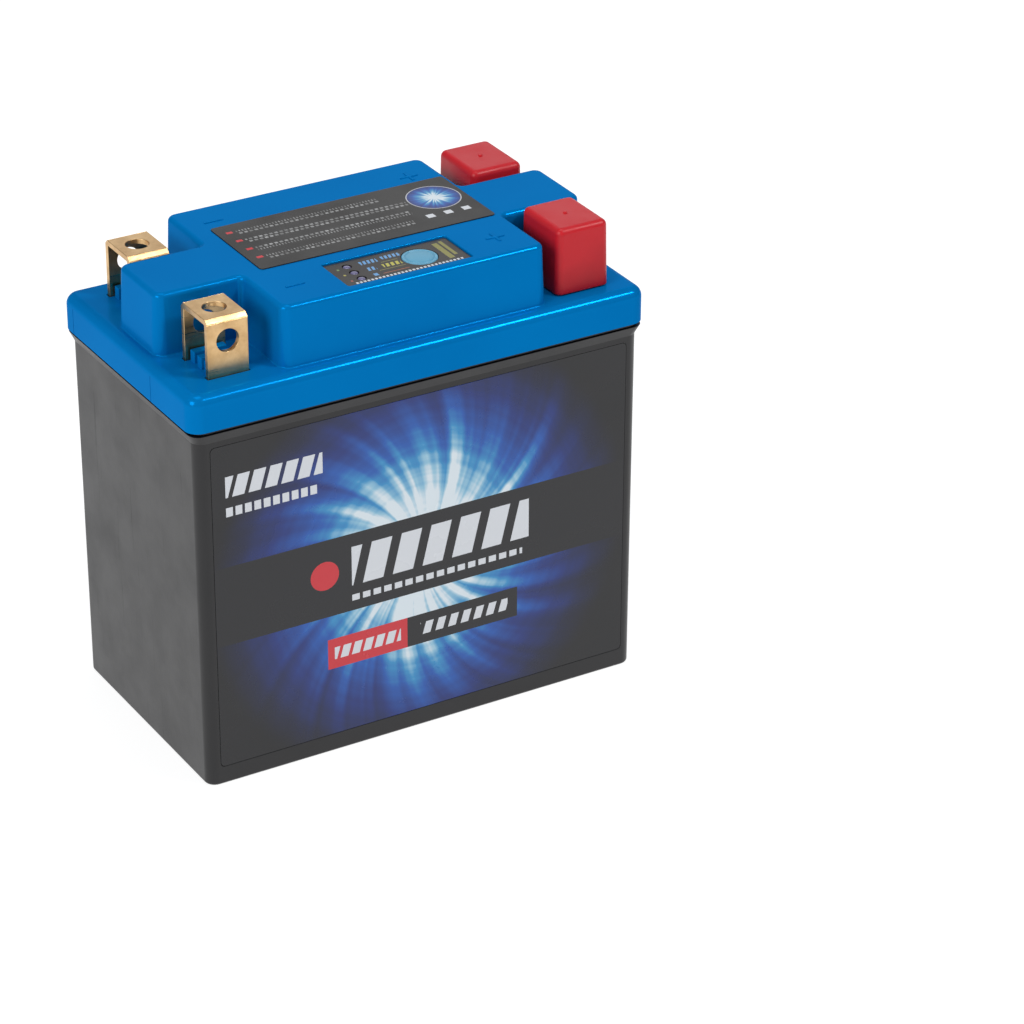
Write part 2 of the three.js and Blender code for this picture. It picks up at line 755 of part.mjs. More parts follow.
// From the strip under cells k and k + 1, up beside the trays and onto the balance board.
function makeOuterSenseWire(k) {
  const x = cellX(k) + CELL_PITCH / 2;
  const side = senseSide(k);
  const boardTop = BALANCE.bottom + BALANCE.thick;
  const route = [
    [x, side * 2, LOWER_TRAY + 1.2],
    [x, side * 10, LOWER_TRAY + 1.2],
    [x, side * (WIRE.channel - 1.5), LOWER_TRAY + 1.4],
    [x, side * WIRE.channel, LOWER_TRAY + 5],
    [x, side * WIRE.channel, LOWER_TRAY + 14],
    [x, side * WIRE.channel, CELL_TOP / 2],
    [x, side * WIRE.channel, CELL_TOP],
    [x, side * WIRE.channel, boardTop],
    [x, side * 13.5, boardTop + 4],
    [x, side * 10, boardTop + 3],
    [x, side * 9.5, boardTop + GAP],
  ];
  return tube(route, WIRE.sense, 8, 36);
}

function makeInnerSenseWire() {
  const route = [
    [0, 0, CELL_TOP + STRIP_THICK + 2 * GAP],
    [0, 1, CELL_TOP + 4],
    [1.5, 3, CELL_TOP + 7],
    [1.5, 3, BALANCE.bottom - GAP],
  ];
  return tube(route, WIRE.sense, 8, 8);
}

function makeIndicatorCable() {
  const route = [
    [22, -4, BALANCE.bottom + BALANCE.thick + GAP],
    [22, -4, BALANCE.bottom + 8],
    [26, -9, 100],
    [22, -15, BOARD.top - 12],
    [18, -16, BOARD.top - 6],
    [18, -16, BOARD.top - BOARD.thick - GAP],
  ];
  return tube(route, WIRE.cable, 8, 24);
}

// ---- the whole battery ----
addPart("case", toGeometry(makeCase()), BLACK);
addPart("seam_seal", toGeometry(makeSeamSeal()), TRAY_PLASTIC);
addPart("lid", toGeometry(makeLid()), BLUE);
addPart("terminal_negative_front", toGeometry(makeTerminal(-1, -1)), BRASS);
addPart("terminal_negative_rear", toGeometry(makeTerminal(-1, 1)), BRASS);
addPart("terminal_positive_front", toGeometry(makeTerminal(1, -1)), BRASS);
addPart("terminal_positive_rear", toGeometry(makeTerminal(1, 1)), BRASS);
addPart("terminal_cap_front", makeCap(-1), RED);
addPart("terminal_cap_rear", makeCap(1), RED);
addPart("label_front", makeFrontLabel(), PRINT);
addPart("label_top", makeTopLabel(), GREY_PRINT);
addPart("indicator_panel", toGeometry(makePanel()), TRAY_PLASTIC);
addPart("test_button", makeButton(), PALE_BLUE);
["full", "middle", "low"].forEach((level, i) => {
  addPart("indicator_led_" + level, makeLed(1 - i), LAMP);
});
addPart("indicator_board", toGeometry(makeIndicatorBoard()), CIRCUIT);
addPart("test_switch", toGeometry(makeTestSwitch()), TRAY_PLASTIC);
for (let k = 0; k < CELL_COUNT; k++) {
  addPart("cell_" + (k + 1), makeCell(k), CELL_WRAP);
}
addPart("cell_tray_lower", toGeometry(makeLowerTray()), TRAY_PLASTIC);
addPart("cell_tray_upper", toGeometry(makeUpperTray()), TRAY_PLASTIC);
addPart("foam_pad_front", makeFoam(-1), FOAM);
addPart("foam_pad_rear", makeFoam(1), FOAM);
addPart("cell_link_1_2", makeStrip(cellX(0), cellX(1), false), NICKEL);
addPart("cell_link_2_3", makeStrip(cellX(1), cellX(2), true), NICKEL);
addPart("cell_link_3_4", makeStrip(cellX(2), cellX(3), false), NICKEL);
addPart("cell_tab_negative", makeStrip(cellX(0) - 8, cellX(0) + 3, true), NICKEL);
addPart("cell_tab_positive", makeStrip(cellX(3) - 3, cellX(3) + 8, true), NICKEL);
addPart("balance_board", toGeometry(makeBalanceBoard()), CIRCUIT);
addPart("balance_chip", makeChip(), TRAY_PLASTIC);
boardCorners().forEach((corner, i) => {
  addPart("board_screw_" + (i + 1), makeBoardScrew(corner), NICKEL);
});
addPart("strap_negative", makeStrap(-1), NICKEL);
addPart("strap_positive", makeStrap(1), NICKEL);
addPart("lead_negative", makeLead(-1), WIRE_BLACK);
addPart("lead_positive", makeLead(1), WIRE_RED);
addPart("sense_wire_1", makeOuterSenseWire(0), WIRE_RED);
addPart("sense_wire_2", makeInnerSenseWire(), WIRE_RED);
addPart("sense_wire_3", makeOuterSenseWire(2), WIRE_RED);
addPart("indicator_cable", makeIndicatorCable(), WIRE_BLACK);

export default battery;
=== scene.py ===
import math
import bpy
from mathutils import Matrix, Vector


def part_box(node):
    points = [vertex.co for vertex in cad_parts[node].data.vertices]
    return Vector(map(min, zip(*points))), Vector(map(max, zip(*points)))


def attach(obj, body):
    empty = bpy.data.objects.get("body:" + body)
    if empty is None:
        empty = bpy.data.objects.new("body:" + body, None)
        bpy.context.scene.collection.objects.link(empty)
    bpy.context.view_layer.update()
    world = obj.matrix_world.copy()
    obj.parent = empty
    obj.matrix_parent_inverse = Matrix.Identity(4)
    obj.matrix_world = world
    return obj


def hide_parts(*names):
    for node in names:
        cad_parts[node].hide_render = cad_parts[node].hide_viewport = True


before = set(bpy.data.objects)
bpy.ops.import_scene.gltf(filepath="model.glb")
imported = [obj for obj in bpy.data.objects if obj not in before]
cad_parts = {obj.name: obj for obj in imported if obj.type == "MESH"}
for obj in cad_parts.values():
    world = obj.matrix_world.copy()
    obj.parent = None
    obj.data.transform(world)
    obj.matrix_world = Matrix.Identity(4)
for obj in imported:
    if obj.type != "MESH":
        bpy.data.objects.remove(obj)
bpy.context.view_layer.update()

mm = 0.001


def shade(red, green, blue):
    # screen values from 0 to 255, as the linear colour that a shader takes
    return tuple(((value / 255 + 0.055) / 1.055) ** 2.4 for value in (red, green, blue)) + (1,)


print("battery: camera, floor and lights")

viewPoint = {
    "target": (48.77, 0, 34.75),  # mm
    "distance": 1099.6,
    "azimuth": -30.8,  # degrees, to the left of the front
    "elevation": 28.18,
    "roll": 0.28,
    "lens": 138.3,
    "sensor": 36,
}

studio = {
    "worldColour": (0.9, 0.95, 1, 1),
    "worldStrength": 0.3,
    "aim": (0, 0, 0.06),  # where every light points, in metres
    "floorSize": 14,
    "floorRoughness": 0.9,
    "floorBase": 0.3,
    "floorGlow": 0.82,
    "lights": [
        # name, place in metres, size, power in watts
        ("key softbox", (0.75, -0.8, 1.3), 0.28, 10),
        ("left softbox", (-1.5, -0.5, 0.9), 0.9, 18),
        ("top softbox", (0, 0, 1.7), 0.8, 6.5),
        ("rear softbox", (0.75, 1.35, 0.95), 1.2, 3),
    ],
}

azimuth = math.radians(viewPoint["azimuth"])
elevation = math.radians(viewPoint["elevation"])
backward = Vector((
    math.sin(azimuth) * math.cos(elevation),
    -math.cos(azimuth) * math.cos(elevation),
    math.sin(elevation),
))
bpy.ops.object.select_all(action="DESELECT")
bpy.ops.object.camera_add()
camera = bpy.context.object
camera.name = "camera"
camera.location = (Vector(viewPoint["target"]) + backward * viewPoint["distance"]) * mm
aim = (-backward).to_track_quat("-Z", "Y").to_matrix()
camera.rotation_euler = (aim @ Matrix.Rotation(math.radians(viewPoint["roll"]), 3, "Z")).to_euler()
camera.data.sensor_width = viewPoint["sensor"]
camera.data.lens = viewPoint["lens"]
bpy.context.scene.camera = camera
bpy.context.scene.view_settings.view_transform = "Standard"

for lightName, place, size, power in studio["lights"]:
    bpy.ops.object.light_add(type="AREA", location=place)
    lamp = bpy.context.object
    lamp.name = lightName
    lamp.data.shape = "SQUARE"
    lamp.data.size = size
    lamp.data.energy = power
    lamp.rotation_euler = (Vector(studio["aim"]) - Vector(place)).to_track_quat("-Z", "Y").to_euler()

world = bpy.data.worlds.new("studio")
world.use_nodes = True
surround = world.node_tree.nodes["Background"]
surround.label = "Even white surround"
surround.inputs["Color"].default_value = studio["worldColour"]
surround.inputs["Strength"].default_value = studio["worldStrength"]
bpy.context.scene.world = world

bpy.ops.mesh.primitive_plane_add(size=studio["floorSize"])
floor = bpy.context.object
floor.name = "floor"
floorMaterial = bpy.data.materials.new("plain white floor")
floorMaterial.use_nodes = True
floorShader = floorMaterial.node_tree.nodes["Principled BSDF"]
floorShader.label = "Plain white paper"
floorShader.inputs["Base Color"].default_value = (studio["floorBase"],) * 3 + (1,)
floorShader.inputs["Roughness"].default_value = studio["floorRoughness"]
floorShader.inputs["Specular IOR Level"].default_value = 0
floorShader.inputs["Emission Color"].default_value = (1, 1, 1, 1)
floorShader.inputs["Emission Strength"].default_value = studio["floorGlow"]
floor.data.materials.append(floorMaterial)

print("battery: materials")

nodeGrid = {"perRow": 4, "across": 200, "down": 260, "frameWidth": 900}


def spreadOut(nodes):
    # the node editor's layout: each frame starts a new stretch of rows
    column, count = 0, 0
    for node in nodes:
        if node.type == "FRAME":
            column, count = column + 1, 0
        else:
            row, place = divmod(count, nodeGrid["perRow"])
            node.location = (
                column * nodeGrid["frameWidth"] + place * nodeGrid["across"],
                -row * nodeGrid["down"],
            )
            count += 1


def mouldedPlastic(name, look):
    material = bpy.data.materials.new(name)
    material.use_nodes = True
    nodes = material.node_tree.nodes
    links = material.node_tree.links
    nodes.clear()

    output = nodes.new("ShaderNodeOutputMaterial")
    output.label = "Finished surface"
    shader = nodes.new("ShaderNodeBsdfPrincipled")
    shader.label = "Moulded plastic"
    shader.inputs["IOR"].default_value = 1.49
    shader.inputs["Metallic"].default_value = look.get("metal", 0)
    shader.inputs["Specular IOR Level"].default_value = look.get("shine", 0.5)
    shader.inputs["Specular Tint"].default_value = look.get("tint", (1, 1, 1, 1))
    shader.inputs["Coat Weight"].default_value = look.get("coat", 0)
    shader.inputs["Coat Roughness"].default_value = 0.08
    place = nodes.new("ShaderNodeTexCoord")
    place.label = "Place on the battery"

    pigmentFrame = nodes.new("NodeFrame")
    pigmentFrame.label = "Pigment"
    clouds = nodes.new("ShaderNodeTexNoise")
    clouds.label = "Slow change of pigment"
    clouds.inputs["Scale"].default_value = 22
    clouds.inputs["Detail"].default_value = 3
    pigment = nodes.new("ShaderNodeValToRGB")
    pigment.label = "Deep to pale pigment"
    pigment.color_ramp.elements[0].position = 0.3
    pigment.color_ramp.elements[0].color = look["deep"]
    pigment.color_ramp.elements[1].position = 0.7
    pigment.color_ramp.elements[1].color = look["pale"]
    for node in (clouds, pigment):
        node.parent = pigmentFrame

    glossFrame = nodes.new("NodeFrame")
    glossFrame.label = "Handling marks"
    smudges = nodes.new("ShaderNodeTexNoise")
    smudges.label = "Finger smudges"
    smudges.inputs["Scale"].default_value = 75
    smudges.inputs["Detail"].default_value = 6
    smudges.inputs["Roughness"].default_value = 0.6
    gloss = nodes.new("ShaderNodeMapRange")
    gloss.label = "Clean to smudged"
    gloss.inputs["From Min"].default_value = 0.35
    gloss.inputs["From Max"].default_value = 0.7
    gloss.inputs["To Min"].default_value = look["glossy"]
    gloss.inputs["To Max"].default_value = look["dull"]
    stretch = nodes.new("ShaderNodeMapping")
    stretch.label = "Long thin rubs"
    stretch.inputs["Rotation"].default_value = (0.3, 0.5, 0.7)
    stretch.inputs["Scale"].default_value = (40, 900, 40)
    rubs = nodes.new("ShaderNodeTexNoise")
    rubs.label = "Fine rub lines"
    rubs.inputs["Scale"].default_value = 1
    rubs.inputs["Detail"].default_value = 2
    rubLines = nodes.new("ShaderNodeMapRange")
    rubLines.label = "Keep only the sharpest rubs"
    rubLines.inputs["From Min"].default_value = 0.66
    rubLines.inputs["From Max"].default_value = 0.8
    rubLines.inputs["To Max"].default_value = look.get("rub", 0.12)
    roughness = nodes.new("ShaderNodeMath")
    roughness.label = "Smudges and rubs"
    roughness.operation = "ADD"
    for node in (smudges, gloss, stretch, rubs, rubLines, roughness):
        node.parent = glossFrame

    reliefFrame = nodes.new("NodeFrame")
    reliefFrame.label = "Mould surface"
    grain = nodes.new("ShaderNodeTexNoise")
    grain.label = "Fine mould grain"
    grain.inputs["Scale"].default_value = look["grainScale"]
    grain.inputs["Detail"].default_value = 3
    waves = nodes.new("ShaderNodeTexNoise")
    waves.label = "Shrinkage waves"
    waves.inputs["Scale"].default_value = 45
    waves.inputs["Detail"].default_value = 1
    waveBump = nodes.new("ShaderNodeBump")
    waveBump.label = "Shallow waves"
    waveBump.inputs["Strength"].default_value = 1
    waveBump.inputs["Distance"].default_value = look.get("wave", 0.00006)
    grainBump = nodes.new("ShaderNodeBump")
    grainBump.label = "Grain on the waves"
    grainBump.inputs["Strength"].default_value = 1
    grainBump.inputs["Distance"].default_value = look["grainDepth"]
    for node in (grain, waves, waveBump, grainBump):
        node.parent = reliefFrame

    links.new(place.outputs["Object"], clouds.inputs["Vector"])
    links.new(place.outputs["Object"], smudges.inputs["Vector"])
    links.new(place.outputs["Object"], stretch.inputs["Vector"])
    links.new(place.outputs["Object"], grain.inputs["Vector"])
    links.new(place.outputs["Object"], waves.inputs["Vector"])
    links.new(clouds.outputs["Fac"], pigment.inputs["Fac"])
    links.new(pigment.outputs["Color"], shader.inputs["Base Color"])
    links.new(smudges.outputs["Fac"], gloss.inputs["Value"])
    links.new(stretch.outputs["Vector"], rubs.inputs["Vector"])
    links.new(rubs.outputs["Fac"], rubLines.inputs["Value"])
    links.new(gloss.outputs["Result"], roughness.inputs[0])
    links.new(rubLines.outputs["Result"], roughness.inputs[1])
    links.new(roughness.outputs["Value"], shader.inputs["Roughness"])
    links.new(waves.outputs["Fac"], waveBump.inputs["Height"])
    links.new(grain.outputs["Fac"], grainBump.inputs["Height"])
    links.new(waveBump.outputs["Normal"], grainBump.inputs["Normal"])
    links.new(grainBump.outputs["Normal"], shader.inputs["Normal"])
    links.new(shader.outputs["BSDF"], output.inputs["Surface"])
    spreadOut(nodes)
    return material


def formedMetal(name, look):
    material = bpy.data.materials.new(name)
    material.use_nodes = True
    nodes = material.node_tree.nodes
    links = material.node_tree.links
    nodes.clear()

    output = nodes.new("ShaderNodeOutputMaterial")
    output.label = "Finished surface"
    shader = nodes.new("ShaderNodeBsdfPrincipled")
    shader.label = "Formed sheet metal"
    shader.inputs["Metallic"].default_value = 1
    place = nodes.new("ShaderNodeTexCoord")
    place.label = "Place on the battery"

    colourFrame = nodes.new("NodeFrame")
    colourFrame.label = "Tarnish"
    patches = nodes.new("ShaderNodeTexNoise")
    patches.label = "Tarnish patches"
    patches.inputs["Scale"].default_value = 140
    patches.inputs["Detail"].default_value = 5
    patches.inputs["Roughness"].default_value = 0.65
    tarnish = nodes.new("ShaderNodeValToRGB")
    tarnish.label = "Bare to tarnished"
    tarnish.color_ramp.elements[0].position = 0.38
    tarnish.color_ramp.elements[0].color = look["bare"]
    tarnish.color_ramp.elements[1].position = 0.72
    tarnish.color_ramp.elements[1].color = look["tarnished"]
    for node in (patches, tarnish):
        node.parent = colourFrame

    finishFrame = nodes.new("NodeFrame")
    finishFrame.label = "Rolling marks"
    stretch = nodes.new("ShaderNodeMapping")
    stretch.label = "Along the strip"
    stretch.inputs["Scale"].default_value = look["lines"]
    lines = nodes.new("ShaderNodeTexNoise")
    lines.label = "Fine rolled lines"
    lines.inputs["Scale"].default_value = 1
    lines.inputs["Detail"].default_value = 4
    finish = nodes.new("ShaderNodeMapRange")
    finish.label = "Bright to dull lines"
    finish.inputs["From Min"].default_value = 0.3
    finish.inputs["From Max"].default_value = 0.7
    finish.inputs["To Min"].default_value = look["glossy"]
    finish.inputs["To Max"].default_value = look["dull"]
    lineBump = nodes.new("ShaderNodeBump")
    lineBump.label = "Line relief"
    lineBump.inputs["Strength"].default_value = 1
    lineBump.inputs["Distance"].default_value = 0.000012
    for node in (stretch, lines, finish, lineBump):
        node.parent = finishFrame

    pitFrame = nodes.new("NodeFrame")
    pitFrame.label = "Pits and dents"
    pits = nodes.new("ShaderNodeTexVoronoi")
    pits.label = "Scattered pits"
    pits.inputs["Scale"].default_value = 420
    pitDepth = nodes.new("ShaderNodeMapRange")
    pitDepth.label = "Only the pit centres"
    pitDepth.inputs["From Min"].default_value = 0.05
    pitDepth.inputs["From Max"].default_value = 0.25
    pitBump = nodes.new("ShaderNodeBump")
    pitBump.label = "Shallow pits"
    pitBump.inputs["Strength"].default_value = 0.6
    pitBump.inputs["Distance"].default_value = 0.00002
    for node in (pits, pitDepth, pitBump):
        node.parent = pitFrame

    links.new(place.outputs["Object"], patches.inputs["Vector"])
    links.new(place.outputs["Object"], stretch.inputs["Vector"])
    links.new(place.outputs["Object"], pits.inputs["Vector"])
    links.new(patches.outputs["Fac"], tarnish.inputs["Fac"])
    links.new(tarnish.outputs["Color"], shader.inputs["Base Color"])
    links.new(stretch.outputs["Vector"], lines.inputs["Vector"])
    links.new(lines.outputs["Fac"], finish.inputs["Value"])
    links.new(finish.outputs["Result"], shader.inputs["Roughness"])
    links.new(lines.outputs["Fac"], lineBump.inputs["Height"])
    links.new(pits.outputs["Distance"], pitDepth.inputs["Value"])
    links.new(pitDepth.outputs["Result"], pitBump.inputs["Height"])
    links.new(lineBump.outputs["Normal"], pitBump.inputs["Normal"])
    links.new(pitBump.outputs["Normal"], shader.inputs["Normal"])
    links.new(shader.outputs["BSDF"], output.inputs["Surface"])
    spreadOut(nodes)
    return material


def softRubber(name, look):
    material = bpy.data.materials.new(name)
    material.use_nodes = True
    nodes = material.node_tree.nodes
    links = material.node_tree.links
    nodes.clear()

    output = nodes.new("ShaderNodeOutputMaterial")
    output.label = "Finished surface"
    shader = nodes.new("ShaderNodeBsdfPrincipled")
    shader.label = "Soft plastic or foam"
    shader.inputs["Subsurface Weight"].default_value = look.get("soft", 0)
    shader.inputs["Subsurface Radius"].default_value = (1, 0.25, 0.2)
    shader.inputs["Subsurface Scale"].default_value = 0.0015
    shader.inputs["IOR"].default_value = 1.5
    shader.inputs["Specular IOR Level"].default_value = look.get("shine", 0.5)
    place = nodes.new("ShaderNodeTexCoord")
    place.label = "Place on the battery"

    # painted shade: by height alone the colour runs from deep at the foot to pale at the crown, standing
    # in for light falling from above; the mottle added to it is the plastic's own uneven tone
    colourFrame = nodes.new("NodeFrame")
    colourFrame.label = "Dye and painted shade"
    split = nodes.new("ShaderNodeSeparateXYZ")
    split.label = "Height on the battery"
    height = nodes.new("ShaderNodeMapRange")
    height.label = "Painted shade from foot to crown"
    height.inputs["From Min"].default_value = look["low"]
    height.inputs["From Max"].default_value = look["high"]
    mottle = nodes.new("ShaderNodeTexNoise")
    mottle.label = "Uneven dip"
    mottle.inputs["Scale"].default_value = look["mottleScale"]
    mottle.inputs["Detail"].default_value = 4
    mixed = nodes.new("ShaderNodeMath")
    mixed.label = "Height and mottle"
    mixed.operation = "MULTIPLY_ADD"
    mixed.inputs[1].default_value = 0.7
    # the ramp turns painted shade (height) and mottle into the base colour
    dyeAndShade = nodes.new("ShaderNodeValToRGB")
    dyeAndShade.label = "Deep to pale dye and painted shade"
    dyeAndShade.color_ramp.elements[0].position = 0.4
    dyeAndShade.color_ramp.elements[0].color = look["deep"]
    dyeAndShade.color_ramp.elements[1].position = 1
    dyeAndShade.color_ramp.elements[1].color = look["pale"]
    for node in (split, height, mottle, mixed, dyeAndShade):
        node.parent = colourFrame

    skinFrame = nodes.new("NodeFrame")
    skinFrame.label = "Skin"
    bloom = nodes.new("ShaderNodeTexNoise")
    bloom.label = "Dull bloom"
    bloom.inputs["Scale"].default_value = 160
    bloom.inputs["Detail"].default_value = 5
    satin = nodes.new("ShaderNodeMapRange")
    satin.label = "Wiped to bloomed"
    satin.inputs["From Min"].default_value = 0.3
    satin.inputs["From Max"].default_value = 0.7
    satin.inputs["To Min"].default_value = look["glossy"]
    satin.inputs["To Max"].default_value = look["dull"]
    pores = nodes.new("ShaderNodeTexVoronoi")
    pores.label = "Pores"
    pores.inputs["Scale"].default_value = look["poreScale"]
    poreBump = nodes.new("ShaderNodeBump")
    poreBump.label = "Pore relief"
    poreBump.inputs["Strength"].default_value = 1
    poreBump.inputs["Distance"].default_value = look["poreDepth"]
    ripple = nodes.new("ShaderNodeTexNoise")
    ripple.label = "Soft ripple"
    ripple.inputs["Scale"].default_value = 110
    ripple.inputs["Detail"].default_value = 1
    rippleBump = nodes.new("ShaderNodeBump")
    rippleBump.label = "Ripple relief"
    rippleBump.inputs["Strength"].default_value = 1
    rippleBump.inputs["Distance"].default_value = 0.00008
    for node in (bloom, satin, pores, poreBump, ripple, rippleBump):
        node.parent = skinFrame

    links.new(place.outputs["Object"], split.inputs["Vector"])
    links.new(place.outputs["Object"], mottle.inputs["Vector"])
    links.new(place.outputs["Object"], bloom.inputs["Vector"])
    links.new(place.outputs["Object"], pores.inputs["Vector"])
    links.new(place.outputs["Object"], ripple.inputs["Vector"])
    links.new(split.outputs["Z"], height.inputs["Value"])
    links.new(height.outputs["Result"], mixed.inputs[0])
    links.new(mottle.outputs["Fac"], mixed.inputs[2])
    links.new(mixed.outputs["Value"], dyeAndShade.inputs["Fac"])
    links.new(dyeAndShade.outputs["Color"], shader.inputs["Base Color"])
    links.new(bloom.outputs["Fac"], satin.inputs["Value"])
    links.new(satin.outputs["Result"], shader.inputs["Roughness"])
    links.new(pores.outputs["Distance"], poreBump.inputs["Height"])
    links.new(ripple.outputs["Fac"], rippleBump.inputs["Height"])
    links.new(poreBump.outputs["Normal"], rippleBump.inputs["Normal"])
    links.new(rippleBump.outputs["Normal"], shader.inputs["Normal"])
    links.new(shader.outputs["BSDF"], output.inputs["Surface"])
    spreadOut(nodes)
    return material


def printedFilm(name, look):
    # a glossy film with plain blocks of ink; "up" names the axis that runs up the film
    material = bpy.data.materials.new(name)
    material.use_nodes = True
    nodes = material.node_tree.nodes
    links = material.node_tree.links
    nodes.clear()
    glow = look["glow"]

    output = nodes.new("ShaderNodeOutputMaterial")
    output.label = "Finished film"
    shader = nodes.new("ShaderNodeBsdfPrincipled")
    shader.label = "Printed film"
    shader.inputs["IOR"].default_value = 1.5
    shader.inputs["Specular IOR Level"].default_value = look.get("shine", 0.5)
    place = nodes.new("ShaderNodeTexCoord")
    place.label = "Place on the battery"
    axes = nodes.new("ShaderNodeSeparateXYZ")
    axes.label = "Along and up the film"

    groundFrame = nodes.new("NodeFrame")
    groundFrame.label = "Ground ink"
    groundNoise = nodes.new("ShaderNodeTexNoise")
    groundNoise.label = "Uneven ground ink"
    groundNoise.inputs["Scale"].default_value = 60
    groundNoise.inputs["Detail"].default_value = 4
    ground = nodes.new("ShaderNodeValToRGB")
    ground.label = "Deep to pale ground"
    ground.color_ramp.elements[0].position = 0.3
    ground.color_ramp.elements[0].color = look["deep"]
    ground.color_ramp.elements[1].position = 0.7
    ground.color_ramp.elements[1].color = look["pale"]
    for node in (groundNoise, ground):
        node.parent = groundFrame

    glowFrame = nodes.new("NodeFrame")
    glowFrame.label = "Radial glow"
    centred = nodes.new("ShaderNodeMapping")
    centred.label = "Centre of the glow"
    centred.inputs["Location"].default_value = [-value * mm for value in glow["centre"]]
    centred.inputs["Scale"].default_value = glow["flatten"]
    reach = nodes.new("ShaderNodeVectorMath")
    reach.label = "Distance from the centre"
    reach.operation = "LENGTH"
    heading = nodes.new("ShaderNodeVectorMath")
    heading.label = "Direction from the centre"
    heading.operation = "NORMALIZE"
    turn = nodes.new("ShaderNodeMath")
    turn.label = "More turn further out"
    turn.operation = "MULTIPLY"
    turn.inputs[1].default_value = glow.get("swirl", 0)
    swirl = nodes.new("ShaderNodeVectorRotate")
    swirl.label = "Swirl of the rays"
    swirl.rotation_type = "Y_AXIS"
    broadRays = nodes.new("ShaderNodeTexNoise")
    broadRays.label = "Broad rays"
    broadRays.inputs["Scale"].default_value = 3.2
    broadRays.inputs["Detail"].default_value = 3
    fineRays = nodes.new("ShaderNodeTexNoise")
    fineRays.label = "Fine rays"
    fineRays.inputs["Scale"].default_value = 7
    fineRays.inputs["Detail"].default_value = 2
    rings = nodes.new("ShaderNodeTexNoise")
    rings.label = "Faint rings"
    rings.noise_dimensions = "1D"
    rings.inputs["Scale"].default_value = glow["rings"]
    rings.inputs["Detail"].default_value = 2
    rays = nodes.new("ShaderNodeMath")
    rays.label = "Broad and fine rays"
    rays.operation = "MULTIPLY"
    rayPower = nodes.new("ShaderNodeMapRange")
    rayPower.label = "Ray contrast"
    rayPower.inputs["From Min"].default_value = 0.1
    rayPower.inputs["From Max"].default_value = 0.42
    rayPower.inputs["To Min"].default_value = 0.25
    rayPower.inputs["To Max"].default_value = 1.12
    ringPower = nodes.new("ShaderNodeMapRange")
    ringPower.label = "Ring contrast"
    ringPower.inputs["From Min"].default_value = 0.3
    ringPower.inputs["From Max"].default_value = 0.7
    ringPower.inputs["To Min"].default_value = 0.88
    ringPower.inputs["To Max"].default_value = 1.08
    fade = nodes.new("ShaderNodeMapRange")
    fade.label = "Fade to the rim"
    fade.interpolation_type = "SMOOTHSTEP"
    fade.inputs["From Min"].default_value = glow["fadeStart"] * mm
    fade.inputs["From Max"].default_value = glow["fadeEnd"] * mm
    fade.inputs["To Min"].default_value = 1
    fade.inputs["To Max"].default_value = 0
    core = nodes.new("ShaderNodeMapRange")
    core.label = "Bright core"
    core.interpolation_type = "SMOOTHSTEP"
    core.inputs["From Max"].default_value = glow["core"] * mm
    core.inputs["To Min"].default_value = 0.6
    core.inputs["To Max"].default_value = glow["rest"]
    faded = nodes.new("ShaderNodeMath")
    faded.label = "Rays that fade"
    faded.operation = "MULTIPLY"
    ringed = nodes.new("ShaderNodeMath")
    ringed.label = "Rays with rings"
    ringed.operation = "MULTIPLY"
    power = nodes.new("ShaderNodeMath")
    power.label = "Glow with its core"
    power.operation = "ADD"
    glowInk = nodes.new("ShaderNodeValToRGB")
    glowInk.label = "Night blue to white"
    stops = glowInk.color_ramp.elements
    stops[0].color = (0, 0, 0, 1)
    stops[1].color = shade(204, 214, 220)
    for position, ink in ((0.2, shade(2, 36, 108)), (0.42, shade(10, 78, 160)),
                          (0.64, shade(44, 132, 182)), (0.82, shade(136, 180, 202))):
        stops.new(position).color = ink
    edge = nodes.new("ShaderNodeMath")
    edge.label = "Inside the glow's edge"
    edge.operation = "LESS_THAN"
    edge.inputs[1].default_value = glow["edge"] * mm
    onRing = nodes.new("ShaderNodeMath")
    onRing.label = "On the glow's rim"
    onRing.operation = "COMPARE"
    onRing.inputs[1].default_value = (glow["edge"] + 0.15) * mm
    onRing.inputs[2].default_value = 0.15 * mm
    rimmed = nodes.new("ShaderNodeMix")
    rimmed.label = "Pale rim"
    rimmed.data_type = "RGBA"
    rimmed.inputs[7].default_value = shade(176, 178, 184)
    base = nodes.new("ShaderNodeMix")
    base.label = "Glow over the ground"
    base.data_type = "RGBA"
    base.blend_type = "ADD"
    for node in (
        centred, reach, heading, turn, swirl, broadRays, fineRays, rings, rays, rayPower, ringPower,
        fade, core, faded, ringed, power, glowInk, edge, onRing, rimmed, base,
    ):
        node.parent = glowFrame

